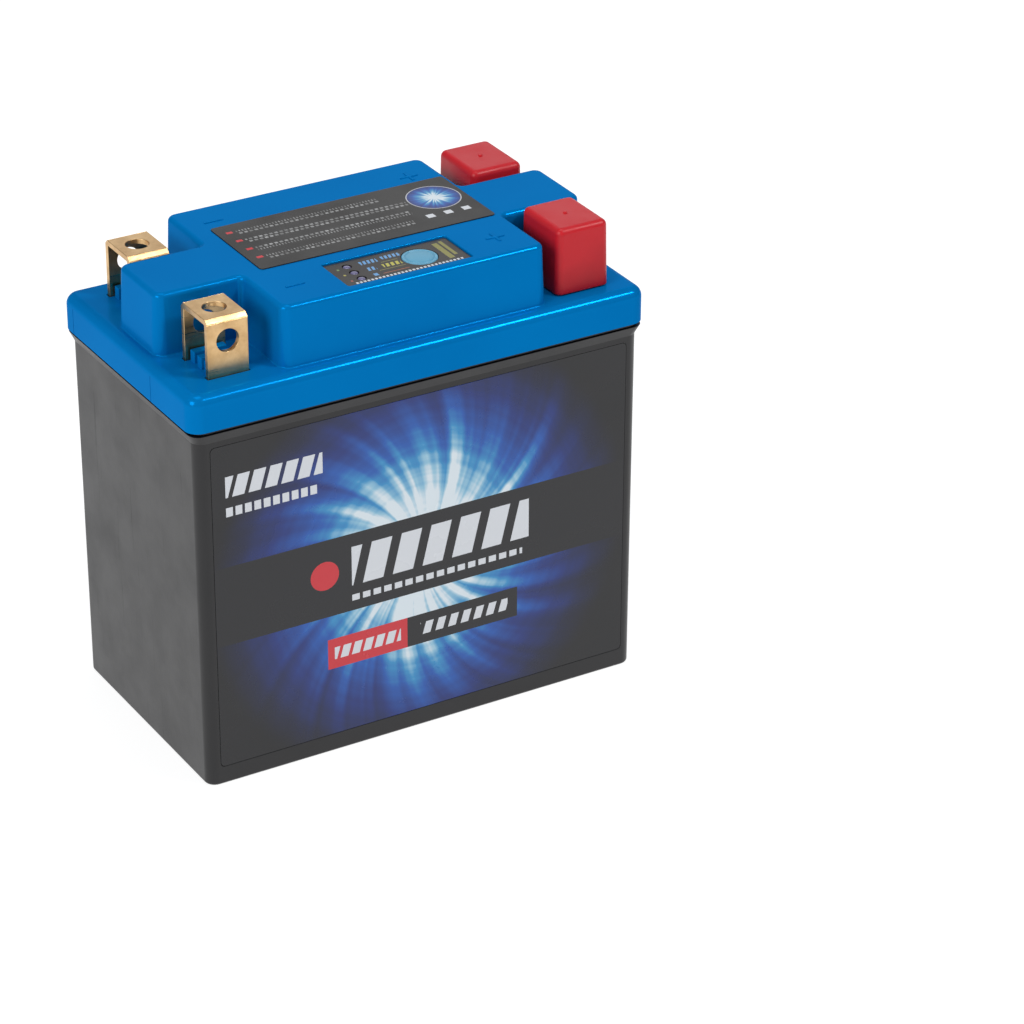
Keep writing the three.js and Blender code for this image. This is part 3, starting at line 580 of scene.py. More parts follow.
    inkFrame = nodes.new("NodeFrame")
    inkFrame.label = "Blocks and dashes of ink"
    words = nodes.new("ShaderNodeTexBrick")
    words.label = "Broken lines without lettering"
    words.offset = 0.37
    words.squash = 0.6
    words.squash_frequency = 3
    words.inputs["Color1"].default_value = (1, 1, 1, 1)
    words.inputs["Color2"].default_value = (0.35, 0.35, 0.35, 1)
    words.inputs["Mortar"].default_value = (0, 0, 0, 1)
    words.inputs["Scale"].default_value = 1 / mm
    words.inputs["Mortar Size"].default_value = 0.3
    words.inputs["Brick Width"].default_value = 1.5
    words.inputs["Row Height"].default_value = 1.45
    words.parent = inkFrame
    links.new(place.outputs["Object"], words.inputs["Vector"])
    printed = rimmed.outputs[2]
    for label, left, right, low, high, pitch, share, lean, ink in look["blocks"]:
        across = nodes.new("ShaderNodeMath")
        across.label = label + ": width"
        across.operation = "COMPARE"
        across.inputs[1].default_value = (left + right) / 2 * mm
        across.inputs[2].default_value = (right - left) / 2 * mm
        upward = nodes.new("ShaderNodeMath")
        upward.label = label + ": height"
        upward.operation = "COMPARE"
        upward.inputs[1].default_value = (low + high) / 2 * mm
        upward.inputs[2].default_value = (high - low) / 2 * mm
        window = nodes.new("ShaderNodeMath")
        window.label = label + ": outline"
        window.operation = "MULTIPLY"
        links.new(axes.outputs["X"], across.inputs[0])
        links.new(axes.outputs[look["up"]], upward.inputs[0])
        links.new(across.outputs["Value"], window.inputs[0])
        links.new(upward.outputs["Value"], window.inputs[1])
        amount = window.outputs["Value"]
        inkNodes = [across, upward, window]
        if pitch:
            leaning = nodes.new("ShaderNodeMath")
            leaning.label = label + ": lean"
            leaning.operation = "MULTIPLY_ADD"
            leaning.inputs[1].default_value = lean
            beat = nodes.new("ShaderNodeMath")
            beat.label = label + ": spacing"
            beat.operation = "MULTIPLY_ADD"
            beat.inputs[1].default_value = 1 / (pitch * mm)
            beat.inputs[2].default_value = -left / pitch + 100
            phase = nodes.new("ShaderNodeMath")
            phase.label = label + ": repeat"
            phase.operation = "FRACT"
            dash = nodes.new("ShaderNodeMath")
            dash.label = label + ": dash"
            dash.operation = "LESS_THAN"
            dash.inputs[1].default_value = share
            inked = nodes.new("ShaderNodeMath")
            inked.label = label + ": inked"
            inked.operation = "MULTIPLY"
            links.new(axes.outputs[look["up"]], leaning.inputs[0])
            links.new(axes.outputs["X"], leaning.inputs[2])
            links.new(leaning.outputs["Value"], beat.inputs[0])
            links.new(beat.outputs["Value"], phase.inputs[0])
            links.new(phase.outputs["Value"], dash.inputs[0])
            links.new(dash.outputs["Value"], inked.inputs[0])
            links.new(amount, inked.inputs[1])
            amount = inked.outputs["Value"]
            inkNodes += [leaning, beat, phase, dash, inked]
        elif share < 1:
            inked = nodes.new("ShaderNodeMath")
            inked.label = label + ": broken lines"
            inked.operation = "MULTIPLY"
            links.new(words.outputs["Color"], inked.inputs[0])
            links.new(amount, inked.inputs[1])
            amount = inked.outputs["Value"]
            inkNodes.append(inked)
        layer = nodes.new("ShaderNodeMix")
        layer.label = label + ": ink"
        layer.data_type = "RGBA"
        layer.inputs[7].default_value = ink
        links.new(amount, layer.inputs[0])
        links.new(printed, layer.inputs[6])
        printed = layer.outputs[2]
        for inkNode in inkNodes + [layer]:
            inkNode.parent = inkFrame

    if "disc" in look:
        offCentre = nodes.new("ShaderNodeVectorMath")
        offCentre.label = "Distance from the disc"
        offCentre.parent = inkFrame
        offCentre.operation = "DISTANCE"
        offCentre.inputs[1].default_value = [value * mm for value in look["disc"]["centre"]]
        inDisc = nodes.new("ShaderNodeMath")
        inDisc.label = "Inside the disc"
        inDisc.parent = inkFrame
        inDisc.operation = "LESS_THAN"
        inDisc.inputs[1].default_value = look["disc"]["radius"] * mm
        discInk = nodes.new("ShaderNodeMix")
        discInk.label = "Disc ink"
        discInk.parent = inkFrame
        discInk.data_type = "RGBA"
        discInk.inputs[7].default_value = look["disc"]["ink"]
        links.new(place.outputs["Object"], offCentre.inputs[0])
        links.new(offCentre.outputs["Value"], inDisc.inputs[0])
        links.new(inDisc.outputs["Value"], discInk.inputs[0])
        links.new(printed, discInk.inputs[6])
        printed = discInk.outputs[2]

    filmFrame = nodes.new("NodeFrame")
    filmFrame.label = "Film surface"
    smudges = nodes.new("ShaderNodeTexNoise")
    smudges.label = "Finger smudges"
    smudges.inputs["Scale"].default_value = 70
    smudges.inputs["Detail"].default_value = 6
    gloss = nodes.new("ShaderNodeMapRange")
    gloss.label = "Clean to smudged"
    gloss.inputs["From Min"].default_value = 0.35
    gloss.inputs["From Max"].default_value = 0.7
    gloss.inputs["To Min"].default_value = look["glossy"]
    gloss.inputs["To Max"].default_value = look["dull"]
    ripple = nodes.new("ShaderNodeTexNoise")
    ripple.label = "Film ripple"
    ripple.inputs["Scale"].default_value = 90
    ripple.inputs["Detail"].default_value = 2
    rippleBump = nodes.new("ShaderNodeBump")
    rippleBump.label = "Ripple relief"
    rippleBump.inputs["Strength"].default_value = 1
    rippleBump.inputs["Distance"].default_value = 0.00005
    fleck = nodes.new("ShaderNodeTexNoise")
    fleck.label = "Fine film grain"
    fleck.inputs["Scale"].default_value = 2200
    fleck.inputs["Detail"].default_value = 2
    fleckBump = nodes.new("ShaderNodeBump")
    fleckBump.label = "Grain relief"
    fleckBump.inputs["Strength"].default_value = 1
    fleckBump.inputs["Distance"].default_value = 0.000006
    for node in (smudges, gloss, ripple, rippleBump, fleck, fleckBump):
        node.parent = filmFrame

    links.new(place.outputs["Object"], axes.inputs["Vector"])
    links.new(place.outputs["Object"], groundNoise.inputs["Vector"])
    links.new(groundNoise.outputs["Fac"], ground.inputs["Fac"])
    links.new(place.outputs["Object"], centred.inputs["Vector"])
    links.new(centred.outputs["Vector"], reach.inputs[0])
    links.new(centred.outputs["Vector"], heading.inputs[0])
    links.new(reach.outputs["Value"], turn.inputs[0])
    links.new(heading.outputs["Vector"], swirl.inputs["Vector"])
    links.new(turn.outputs["Value"], swirl.inputs["Angle"])
    links.new(swirl.outputs["Vector"], broadRays.inputs["Vector"])
    links.new(swirl.outputs["Vector"], fineRays.inputs["Vector"])
    links.new(reach.outputs["Value"], rings.inputs["W"])
    links.new(broadRays.outputs["Fac"], rays.inputs[0])
    links.new(fineRays.outputs["Fac"], rays.inputs[1])
    links.new(rays.outputs["Value"], rayPower.inputs["Value"])
    links.new(rings.outputs["Fac"], ringPower.inputs["Value"])
    links.new(reach.outputs["Value"], fade.inputs["Value"])
    links.new(reach.outputs["Value"], core.inputs["Value"])
    links.new(rayPower.outputs["Result"], faded.inputs[0])
    links.new(fade.outputs["Result"], faded.inputs[1])
    links.new(faded.outputs["Value"], ringed.inputs[0])
    links.new(ringPower.outputs["Result"], ringed.inputs[1])
    links.new(ringed.outputs["Value"], power.inputs[0])
    links.new(core.outputs["Result"], power.inputs[1])
    links.new(power.outputs["Value"], glowInk.inputs["Fac"])
    links.new(reach.outputs["Value"], edge.inputs[0])
    links.new(edge.outputs["Value"], base.inputs[0])
    links.new(ground.outputs["Color"], base.inputs[6])
    links.new(glowInk.outputs["Color"], base.inputs[7])
    links.new(reach.outputs["Value"], onRing.inputs[0])
    links.new(onRing.outputs["Value"], rimmed.inputs[0])
    links.new(base.outputs[2], rimmed.inputs[6])
    links.new(printed, shader.inputs["Base Color"])
    links.new(place.outputs["Object"], smudges.inputs["Vector"])
    links.new(smudges.outputs["Fac"], gloss.inputs["Value"])
    links.new(gloss.outputs["Result"], shader.inputs["Roughness"])
    links.new(place.outputs["Object"], ripple.inputs["Vector"])
    links.new(place.outputs["Object"], fleck.inputs["Vector"])
    links.new(ripple.outputs["Fac"], rippleBump.inputs["Height"])
    links.new(fleck.outputs["Fac"], fleckBump.inputs["Height"])
    links.new(rippleBump.outputs["Normal"], fleckBump.inputs["Normal"])
    links.new(fleckBump.outputs["Normal"], shader.inputs["Normal"])
    links.new(shader.outputs["BSDF"], output.inputs["Surface"])
    spreadOut(nodes)
    return material


def paintNodes(names, material):
    for name in names:
        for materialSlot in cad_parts[name].material_slots:
            materialSlot.material = material


bluePlastic = mouldedPlastic("blue lid plastic", {
    "deep": shade(0, 106, 172), "pale": shade(0, 112, 179), "metal": 0.18, "shine": 0.004,
    "tint": (0, 0.6, 1, 1), "glossy": 0.15, "dull": 0.2, "grainScale": 2600,
    "grainDepth": 0.000004, "wave": 0.00004, "rub": 0.02,
})
darkPlastic = mouldedPlastic("dark case plastic", {
    "deep": shade(11, 10, 13), "pale": shade(16, 15, 18),
    "glossy": 0.32, "dull": 0.42, "grainScale": 1500, "grainDepth": 0.000012,
})
blackPlastic = mouldedPlastic("black inner plastic", {
    "deep": shade(18, 18, 20), "pale": shade(28, 28, 30),
    "glossy": 0.4, "dull": 0.6, "grainScale": 1800, "grainDepth": 0.00002,
})
paleButtonPlastic = mouldedPlastic("pale blue button plastic", {
    "deep": shade(80, 146, 178), "pale": shade(106, 170, 194),
    "glossy": 0.3, "dull": 0.42, "grainScale": 3000, "grainDepth": 0.000006,
})
cellSleeve = mouldedPlastic("blue cell sleeve", {
    "deep": shade(20, 92, 150), "pale": shade(34, 120, 180),
    "glossy": 0.22, "dull": 0.38, "grainScale": 900, "grainDepth": 0.00001, "wave": 0.0002,
})
lampPlastic = mouldedPlastic("clear lamp plastic", {
    "deep": shade(92, 88, 124), "pale": shade(120, 116, 150),
    "glossy": 0.12, "dull": 0.22, "grainScale": 2000, "grainDepth": 0.000004, "coat": 0.5,
})
boardLacquer = mouldedPlastic("green board lacquer", {
    "deep": shade(14, 70, 36), "pale": shade(24, 98, 52),
    "glossy": 0.25, "dull": 0.4, "grainScale": 700, "grainDepth": 0.00003,
})
brass = formedMetal("terminal brass", {
    "bare": shade(222, 186, 136), "tarnished": shade(184, 146, 98),
    "glossy": 0.26, "dull": 0.4, "lines": (60, 60, 1800),
})
nickel = formedMetal("plated strip nickel", {
    "bare": shade(196, 194, 188), "tarnished": shade(160, 156, 148),
    "glossy": 0.25, "dull": 0.42, "lines": (60, 1500, 60),
})
redRubber = softRubber("red cap rubber", {
    "deep": shade(150, 14, 24), "pale": shade(186, 28, 38), "soft": 0.2, "shine": 0.25,
    "low": 0.113, "high": 0.133, "mottleScale": 60,
    "glossy": 0.3, "dull": 0.42, "poreScale": 2400, "poreDepth": 0.000006,
})
blackInsulation = softRubber("black wire insulation", {
    "deep": shade(14, 14, 14), "pale": shade(30, 30, 30),
    "low": 0.06, "high": 0.13, "mottleScale": 90,
    "glossy": 0.4, "dull": 0.6, "poreScale": 2600, "poreDepth": 0.000008,
})
redInsulation = softRubber("red wire insulation", {
    "deep": shade(128, 14, 20), "pale": shade(176, 28, 34),
    "low": 0.0, "high": 0.12, "mottleScale": 90,
    "glossy": 0.4, "dull": 0.6, "poreScale": 2600, "poreDepth": 0.000008,
})
greyFoam = softRubber("grey packing foam", {
    "deep": shade(72, 72, 76), "pale": shade(112, 112, 116),
    "low": 0.0, "high": 0.08, "mottleScale": 300,
    "glossy": 0.85, "dull": 0.98, "poreScale": 900, "poreDepth": 0.0003,
})

whiteInk = shade(200, 203, 208)
greyInk = shade(150, 150, 150)
redInk = shade(190, 40, 50)
blackInk = shade(20, 20, 24)
# each block: name, left, right, low, high and dash spacing in millimetres, share inked, lean, ink;
# with no spacing it is solid where its share is 1, and broken lines where it is less
frontFilm = printedFilm("front label film", {
    "up": "Z", "deep": shade(11, 11, 15), "pale": shade(17, 17, 21), "glossy": 0.2, "dull": 0.32,
    "glow": {"centre": (-1, 0, 52), "flatten": (1, 0, 1), "rings": 260, "fadeStart": 16,
             "fadeEnd": 64, "core": 40, "rest": 0, "edge": 90, "swirl": 10},
    "disc": {"centre": (-30, -36.9, 54), "radius": 4.2, "ink": redInk},
    "blocks": [
        ("band", -62, 62, 41.5, 64.5, 0, 1, 0, blackInk),
        ("band bars", -22, 32, 49, 60.5, 9, 0.68, -0.25, whiteInk),
        ("band line", -22, 30, 44.4, 46.2, 3.2, 0.7, 0, whiteInk),
        ("red tag", -29.5, -5.5, 25.5, 34.5, 0, 1, 0, redInk),
        ("red tag dashes", -27.5, -7.5, 28.2, 31.8, 3.4, 0.7, -0.3, whiteInk),
        ("black tag", -5.5, 28.5, 25.5, 34.5, 0, 1, 0, blackInk),
        ("black tag dashes", -1.5, 25.5, 28.2, 31.8, 3.9, 0.6, -0.3, whiteInk),
        ("corner bars", -58, -30, 84.5, 90.5, 4.7, 0.74, -0.3, whiteInk),
        ("corner line", -58, -31, 79, 81.6, 2.7, 0.72, 0, whiteInk),
    ],
})
topFilm = printedFilm("top label film", {
    "up": "Y", "deep": shade(30, 28, 27), "pale": shade(38, 35, 33),
    "shine": 0.3, "glossy": 0.3, "dull": 0.42,
    "glow": {"centre": (28.2, 7.2, 0), "flatten": (1, 1, 0), "rings": 600, "fadeStart": 2,
             "fadeEnd": 8.5, "core": 3.5, "rest": 0.12, "edge": 7.2},
    "blocks": [
        ("first lines", -27.8, 14.5, 11.6, 14.5, 0, 0.5, 0, greyInk),
        ("second lines", -27.8, 20, 5.8, 8.7, 0, 0.5, 0, greyInk),
        ("third lines", -27.8, 18, 0, 2.9, 0, 0.5, 0, greyInk),
        ("fourth lines", -27.8, 16, -5.8, -2.9, 0, 0.5, 0, greyInk),
        ("small symbols", 20.4, 33.5, -4.1, -2, 5.4, 0.42, 0, whiteInk),
        ("first bullet", -30.4, -28.6, 13.2, 14.4, 0, 1, 0, redInk),
        ("second bullet", -30.4, -28.6, 7.4, 8.6, 0, 1, 0, redInk),
        ("third bullet", -30.4, -28.6, 1.6, 2.8, 0, 1, 0, redInk),
        ("fourth bullet", -30.4, -28.6, -4.2, -3, 0, 1, 0, redInk),
    ],
})
panelFilm = printedFilm("indicator panel film", {
    "up": "Y", "deep": shade(32, 28, 27), "pale": shade(40, 35, 33),
    "shine": 0.3, "glossy": 0.22, "dull": 0.34,
    "glow": {"centre": (7, -22.8, 0), "flatten": (1, 1, 0), "rings": 500, "fadeStart": 4,
             "fadeEnd": 7, "core": 1, "rest": 0, "edge": 0},
    "blocks": [
        ("full blue", -8.6, -3.6, -19.9, -17.9, 1.2, 0.6, -0.2, shade(96, 150, 200)),
        ("full blue, right", -2.2, 3.2, -19.4, -17.6, 1.2, 0.6, -0.2, shade(96, 150, 200)),
        ("middle blue", -8.6, -6, -24, -22, 1.2, 0.6, -0.2, shade(96, 150, 200)),
        ("middle yellow", -4, 1.4, -24, -22, 1.4, 0.62, -0.2, shade(176, 170, 70)),
        ("low blue", -8.6, -7.4, -27.4, -26, 0, 1, 0, shade(96, 150, 200)),
        ("full lead line", -3.4, 1.4, -21, -20.7, 0, 1, 0, shade(120, 116, 60)),
        ("middle lead line", -6, 1.6, -25.2, -24.9, 0, 1, 0, shade(120, 116, 60)),
        ("low lead line", -6, 1.6, -27.2, -26.9, 0, 1, 0, shade(150, 84, 60)),
        ("right yellow", 13.4, 15, -27.5, -17.5, 0, 1, 0, shade(128, 124, 62)),
        ("right yellow, outer", 15.6, 16.6, -26, -17, 0, 1, 0, shade(128, 124, 62)),
        ("green dot", -15.6, -15, -20, -19.2, 0, 1, 0, shade(110, 140, 90)),
        ("yellow dot", -15.6, -15, -23.7, -22.9, 0, 1, 0, shade(160, 150, 70)),
        ("red dot", -15.6, -15, -27.6, -26.8, 0, 1, 0, shade(150, 70, 60)),
        ("foot marks", -15, 16.8, -29.4, -28.5, 1.1, 0.6, 0, whiteInk),
    ],
})

print("battery: modelling tools")

past = 1  # how far a cutter or a joining block runs past the face it meets, in millimetres


def deselectAll():
    if bpy.context.mode != "OBJECT":
        bpy.ops.object.mode_set(mode="OBJECT")
    bpy.ops.object.select_all(action="DESELECT")


def activate(piece):
    deselectAll()
    piece.select_set(True)
    bpy.context.view_layer.objects.active = piece


def addBlock(name, low, high):
    # a box between two corners in millimetres, its place kept in its mesh
    deselectAll()
    bpy.ops.mesh.primitive_cube_add(size=1, location=[(a + b) / 2 * mm for a, b in zip(low, high)])
    piece = bpy.context.object
    piece.name = name
    piece.scale = [(b - a) * mm for a, b in zip(low, high)]
    bpy.ops.object.transform_apply(location=True, rotation=True, scale=True)
    return piece


def addRound(name, radius, start, end, sides=48):
    # a cylinder between two points in millimetres
    deselectAll()
    start, end = Vector(start) * mm, Vector(end) * mm
    turn = (end - start).to_track_quat("Z", "Y").to_euler()
    bpy.ops.mesh.primitive_cylinder_add(
        vertices=sides, radius=radius * mm, depth=(end - start).length,
        location=(start + end) / 2, rotation=turn,
    )
    piece = bpy.context.object
    piece.name = name
    bpy.ops.object.transform_apply(location=True, rotation=True, scale=True)
    return piece


def pick(piece, kind, wanted):
    # selects parts of the mesh by their place in millimetres and their direction, in edit mode
    activate(piece)
    bpy.context.tool_settings.mesh_select_mode = [kind == mode for mode in ("VERT", "EDGE", "FACE")]
    mesh = piece.data
    for group in (mesh.vertices, mesh.edges, mesh.polygons):
        group.foreach_set("select", [False] * len(group))
    if kind == "VERT":
        for vertex in mesh.vertices:
            vertex.select = wanted(vertex.co / mm, vertex.normal)
    elif kind == "EDGE":
        for edge in mesh.edges:
            start, end = (mesh.vertices[i].co for i in edge.vertices)
            edge.select = wanted((start + end) / 2 / mm, (end - start).normalized())
    else:
        for face in mesh.polygons:
            face.select = wanted(face.center / mm, face.normal)
    bpy.ops.object.mode_set(mode="EDIT")


def bevelEdges(piece, width, segments, wanted):
    pick(piece, "EDGE", wanted)
    bpy.ops.mesh.bevel(offset=width * mm, segments=segments, affect="EDGES")
    bpy.ops.object.mode_set(mode="OBJECT")


def roundCorners(piece, radius, wanted, segments=8):
    # rounds the upright edges that are wanted
    bevelEdges(piece, radius, segments, lambda place, along: abs(along.z) > 0.99 and wanted(place))


def roundRim(radius, steps=8):
    # the selected flat faces close in and rise along a quarter circle
    for step in range(steps):
        turn, nextTurn = (math.pi / 2 * k / steps for k in (step, step + 1))
        inward = radius * (math.cos(turn) - math.cos(nextTurn))
        upward = radius * (math.sin(nextTurn) - math.sin(turn))
        bpy.ops.mesh.inset(thickness=inward * mm, depth=upward * mm)


def sweepFoot(radius, steps=6):
    # the selected flat faces rise and close in along a hollow quarter circle
    for step in range(steps):
        turn, nextTurn = (math.pi / 2 * k / steps for k in (step, step + 1))
        inward = radius * (math.sin(nextTurn) - math.sin(turn))
        upward = radius * (math.cos(turn) - math.cos(nextTurn))
        bpy.ops.mesh.inset(thickness=inward * mm, depth=upward * mm)


def combine(piece, tool, operation="DIFFERENCE"):
    activate(piece)
    bpy.ops.object.modifier_add(type="BOOLEAN")
    change = piece.modifiers[-1]
    change.operation = operation
    change.solver = "EXACT"
    change.object = tool
    bpy.ops.object.modifier_apply(modifier=change.name)
    bpy.data.objects.remove(tool, do_unlink=True)


def join(pieces):
    activate(pieces[0])
    for piece in pieces:
        piece.select_set(True)
    bpy.ops.object.join()
    return pieces[0]


def softenEdges(piece, width, segments=3, angle=40):
    activate(piece)
    bpy.ops.object.modifier_add(type="BEVEL")
    edge = piece.modifiers[-1]
    edge.width = width * mm
    edge.segments = segments
    edge.limit_method = "ANGLE"
    edge.angle_limit = math.radians(angle)
    edge.harden_normals = False
    bpy.ops.object.modifier_apply(modifier=edge.name)


def finishPiece(piece, material, body, nodes, angle=35, weighted=True):
    # smooth shading with flat faces kept flat, then the finish, the body and the nodes it stands for
    activate(piece)
    bpy.ops.object.shade_smooth_by_angle(angle=math.radians(angle))
    if weighted:
        bpy.ops.object.modifier_add(type="WEIGHTED_NORMAL")
        flats = piece.modifiers[-1]
        flats.keep_sharp = True
        bpy.ops.object.modifier_apply(modifier=flats.name)
    piece.data.materials.clear()
    piece.data.materials.append(material)
    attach(piece, body)
    if nodes:
        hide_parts(*nodes)


def copyTo(piece, name, move, mirror=(1, 1, 1)):
    # a copy with its own mesh, moved by millimetres, mirrored where asked
    activate(piece)
    bpy.ops.object.duplicate(linked=False)
    twin = bpy.context.object
    twin.name = name
    twin.scale = mirror
    twin.location = [step * mm for step in move]
    bpy.ops.object.transform_apply(location=True, rotation=True, scale=True)
    if mirror[0] * mirror[1] * mirror[2] < 0:
        bpy.ops.object.mode_set(mode="EDIT")
        bpy.ops.mesh.select_all(action="SELECT")
        bpy.ops.mesh.normals_make_consistent(inside=False)
        bpy.ops.object.mode_set(mode="OBJECT")
    return twin


print("battery: lid")

lidShape = {
    "length": 135, "depth": 76, "bottom": 104.9, "ledge": 114.9, "top": 132,
    "corner": 4, "edge": 3, "wall": 2.4, "footSink": 0.03,
    "blockLength": 77.4, "blockDepth": 66.9, "tongueLength": 126.2, "tongueDepth": 22.4,
    "blockCorner": 2.6, "hollowCorner": 0.5, "draft": 0.6, "foot": 0.45, "blockEdge": 1.4,
    "windowX": 0.4, "windowY": -22.8, "windowLength": 36.7, "windowDepth": 15,
    "windowFloor": 130.3, "windowLip": 1.4, "windowCorner": 0.6, "windowEdge": 0.3, "frameWidth": 1.5,
    "labelX": 2.1, "labelY": 4, "labelLength": 69.96, "labelDepth": 29.36, "labelFloor": 131.5,
    "labelCorner": 1.2,
    "markX": 29.5, "markY": 23, "markReach": 2.7, "markWidth": 0.7, "markHeight": 0.25,
    "markEdge": 0.12, "markRoot": 0.5,
    "terminalX": 52.2, "terminalY": 22.15, "slotLength": 12.2, "slotWidth": 2.1, "wingOffset": 6.5,
    "restLength": 9.4, "restWidth": 2.4, "restPitch": 3.9, "restTop": 118.1,
    "restEdge": 0.25,
    "partingY": (-15, 31), "partingWidth": 0.22, "partingDepth": 0.12, "partingTop": 112.2,
    "postX": (-19.6, 20.4), "postY": (-27.3, -12.3), "postRadius": 1.5, "postFoot": 124.8,
}


def addCross(name, grow, bottom, top):
    # the block's plan, grown by some millimetres on every side: a wide middle and a long tongue
    wide = lidShape["blockLength"] / 2 + grow
    deep = lidShape["blockDepth"] / 2 + grow
    tongue = lidShape["tongueLength"] / 2 + grow
    narrow = lidShape["tongueDepth"] / 2 + grow
    cross = addBlock(name, (-wide, -narrow, bottom), (wide, narrow, top))
    for side in (-1, 1):
        pick(cross, "FACE", lambda place, normal: normal.x * side > 0.9)
        bpy.ops.mesh.extrude_region_move(
            TRANSFORM_OT_translate={"value": (side * (tongue - wide) * mm, 0, 0)})
        bpy.ops.object.mode_set(mode="OBJECT")
    for side in (-1, 1):
        pick(cross, "FACE", lambda place, normal: normal.y * side > 0.9 and abs(place.x) < wide / 2)
        bpy.ops.mesh.extrude_region_move(
            TRANSFORM_OT_translate={"value": (0, side * (deep - narrow) * mm, 0)})
        bpy.ops.object.mode_set(mode="OBJECT")
    pick(cross, "FACE", lambda place, normal: True)
    bpy.ops.mesh.dissolve_limited(angle_limit=math.radians(1))
    bpy.ops.object.mode_set(mode="OBJECT")
    inside = lambda place: abs(abs(place.x) - wide) < 0.1 and abs(abs(place.y) - narrow) < 0.1
    roundCorners(cross, lidShape["blockCorner"] + grow, lambda place: not inside(place))
    inner = lidShape["draft"] + lidShape["foot"] + lidShape["hollowCorner"] - grow
    roundCorners(cross, inner, inside)
    return cross


def makeLid():
    halfLength, halfDepth = lidShape["length"] / 2, lidShape["depth"] / 2
    bottom, ledge, top = lidShape["bottom"], lidShape["ledge"], lidShape["top"]
    edge, wall = lidShape["edge"], lidShape["wall"]
    lid = addBlock("lid_shell", (-halfLength, -halfDepth, bottom), (halfLength, halfDepth, ledge - edge))
    roundCorners(lid, lidShape["corner"], lambda place: True, 10)
    pick(lid, "FACE", lambda place, normal: normal.z > 0.9)
    roundRim(edge, 9)
    bpy.ops.object.mode_set(mode="OBJECT")

    grow = lidShape["draft"] + lidShape["foot"]
    sunk = lidShape["footSink"]  # keeps the foot's first step off the ledge's own plane
    block = addCross("block", grow, ledge - past, ledge - sunk)
    pick(block, "FACE", lambda place, normal: normal.z > 0.9)
    sweepFoot(lidShape["foot"])
    climb = top - lidShape["blockEdge"] - (ledge - sunk + lidShape["foot"])
    bpy.ops.mesh.inset(thickness=lidShape["draft"] * mm, depth=climb * mm)
    roundRim(lidShape["blockEdge"])
    bpy.ops.object.mode_set(mode="OBJECT")
    combine(lid, block, "UNION")

    half, partingTop = lidShape["partingWidth"] / 2, lidShape["partingTop"]
    for partingY in lidShape["partingY"]:
        combine(lid, addBlock("parting line", (-halfLength - past, partingY - half, bottom - past),
                              (-halfLength + lidShape["partingDepth"], partingY + half, partingTop)))

    hollow = addBlock("skirt hollow", (-halfLength + wall, -halfDepth + wall, bottom - past),
                      (halfLength - wall, halfDepth - wall, ledge - wall))
    roundCorners(hollow, lidShape["corner"] - wall, lambda place: True, 4)
    combine(lid, hollow)
    combine(lid, addCross("block hollow", -wall, bottom, top - wall))
    for x in lidShape["postX"]:
        for y in lidShape["postY"]:
            post = addRound("board post", lidShape["postRadius"], (x, y, lidShape["postFoot"]),
                            (x, y, top - past), 24)
            combine(lid, post, "UNION")

    x, y = lidShape["windowX"], lidShape["windowY"]
    reachX, reachY = lidShape["windowLength"] / 2, lidShape["windowDepth"] / 2
    lip, floorZ, margin = lidShape["windowLip"], lidShape["windowFloor"], lidShape["frameWidth"]
    frameBlock = addBlock("window frame", (x - reachX - margin, y - reachY - margin, floorZ - lip),
                          (x + reachX + margin, y + reachY + margin, top - wall / 2))
    combine(lid, frameBlock, "UNION")
    window = addBlock("window", (x - reachX, y - reachY, floorZ), (x + reachX, y + reachY, top + past))
    roundCorners(window, lidShape["windowCorner"], lambda place: True, 4)
    combine(lid, window)
    opening = addBlock("window opening", (x - reachX + lip, y - reachY + lip, ledge),
                       (x + reachX - lip, y + reachY - lip, top))
    combine(lid, opening)
    bevelEdges(lid, lidShape["windowEdge"], 3, lambda place, along: (
        abs(place.z - top) < 0.01 and abs(along.z) < 0.1
        and abs(place.x - x) < reachX + 0.1 and abs(place.y - y) < reachY + 0.1
    ))

    x, y = lidShape["labelX"], lidShape["labelY"]
    reachX, reachY = lidShape["labelLength"] / 2, lidShape["labelDepth"] / 2
    seat = addBlock("label seat", (x - reachX, y - reachY, lidShape["labelFloor"]),
                    (x + reachX, y + reachY, top + past))
    roundCorners(seat, lidShape["labelCorner"], lambda place: True, 5)
    combine(lid, seat)

    for side in (-1, 1):
        for end in (-1, 1):
            x, y = side * lidShape["terminalX"], end * lidShape["terminalY"]
            for wing in (-1, 1):
                slotY = y + wing * lidShape["wingOffset"]
                reachX, reachY = lidShape["slotLength"] / 2, lidShape["slotWidth"] / 2
                combine(lid, addBlock("wing slot", (x - reachX, slotY - reachY, bottom),
                                      (x + reachX, slotY + reachY, ledge + past)))
            for place in (-1, 0, 1):
                restY = y + place * lidShape["restPitch"]
                reachX, reachY = lidShape["restLength"] / 2, lidShape["restWidth"] / 2
                rest = addBlock("nut rest", (x - reachX, restY - reachY, ledge - past),
                                (x + reachX, restY + reachY, lidShape["restTop"]))
                softenEdges(rest, lidShape["restEdge"], 2)
                combine(lid, rest, "UNION")
            markX, markY = side * lidShape["markX"], end * lidShape["markY"]
            reach, half = lidShape["markReach"], lidShape["markWidth"] / 2
            root, raised = top - lidShape["markRoot"], top + lidShape["markHeight"]
            mark = addBlock("bar", (markX - reach, markY - half, root),
                            (markX + reach, markY + half, raised))
            if side > 0:
                combine(mark, addBlock("upright bar", (markX - half, markY - reach, root),
                                       (markX + half, markY + reach, raised)), "UNION")
            softenEdges(mark, lidShape["markEdge"], 2)
            combine(lid, mark, "UNION")
    finishPiece(lid, bluePlastic, "battery", ["lid"])


makeLid()

print("battery: case")

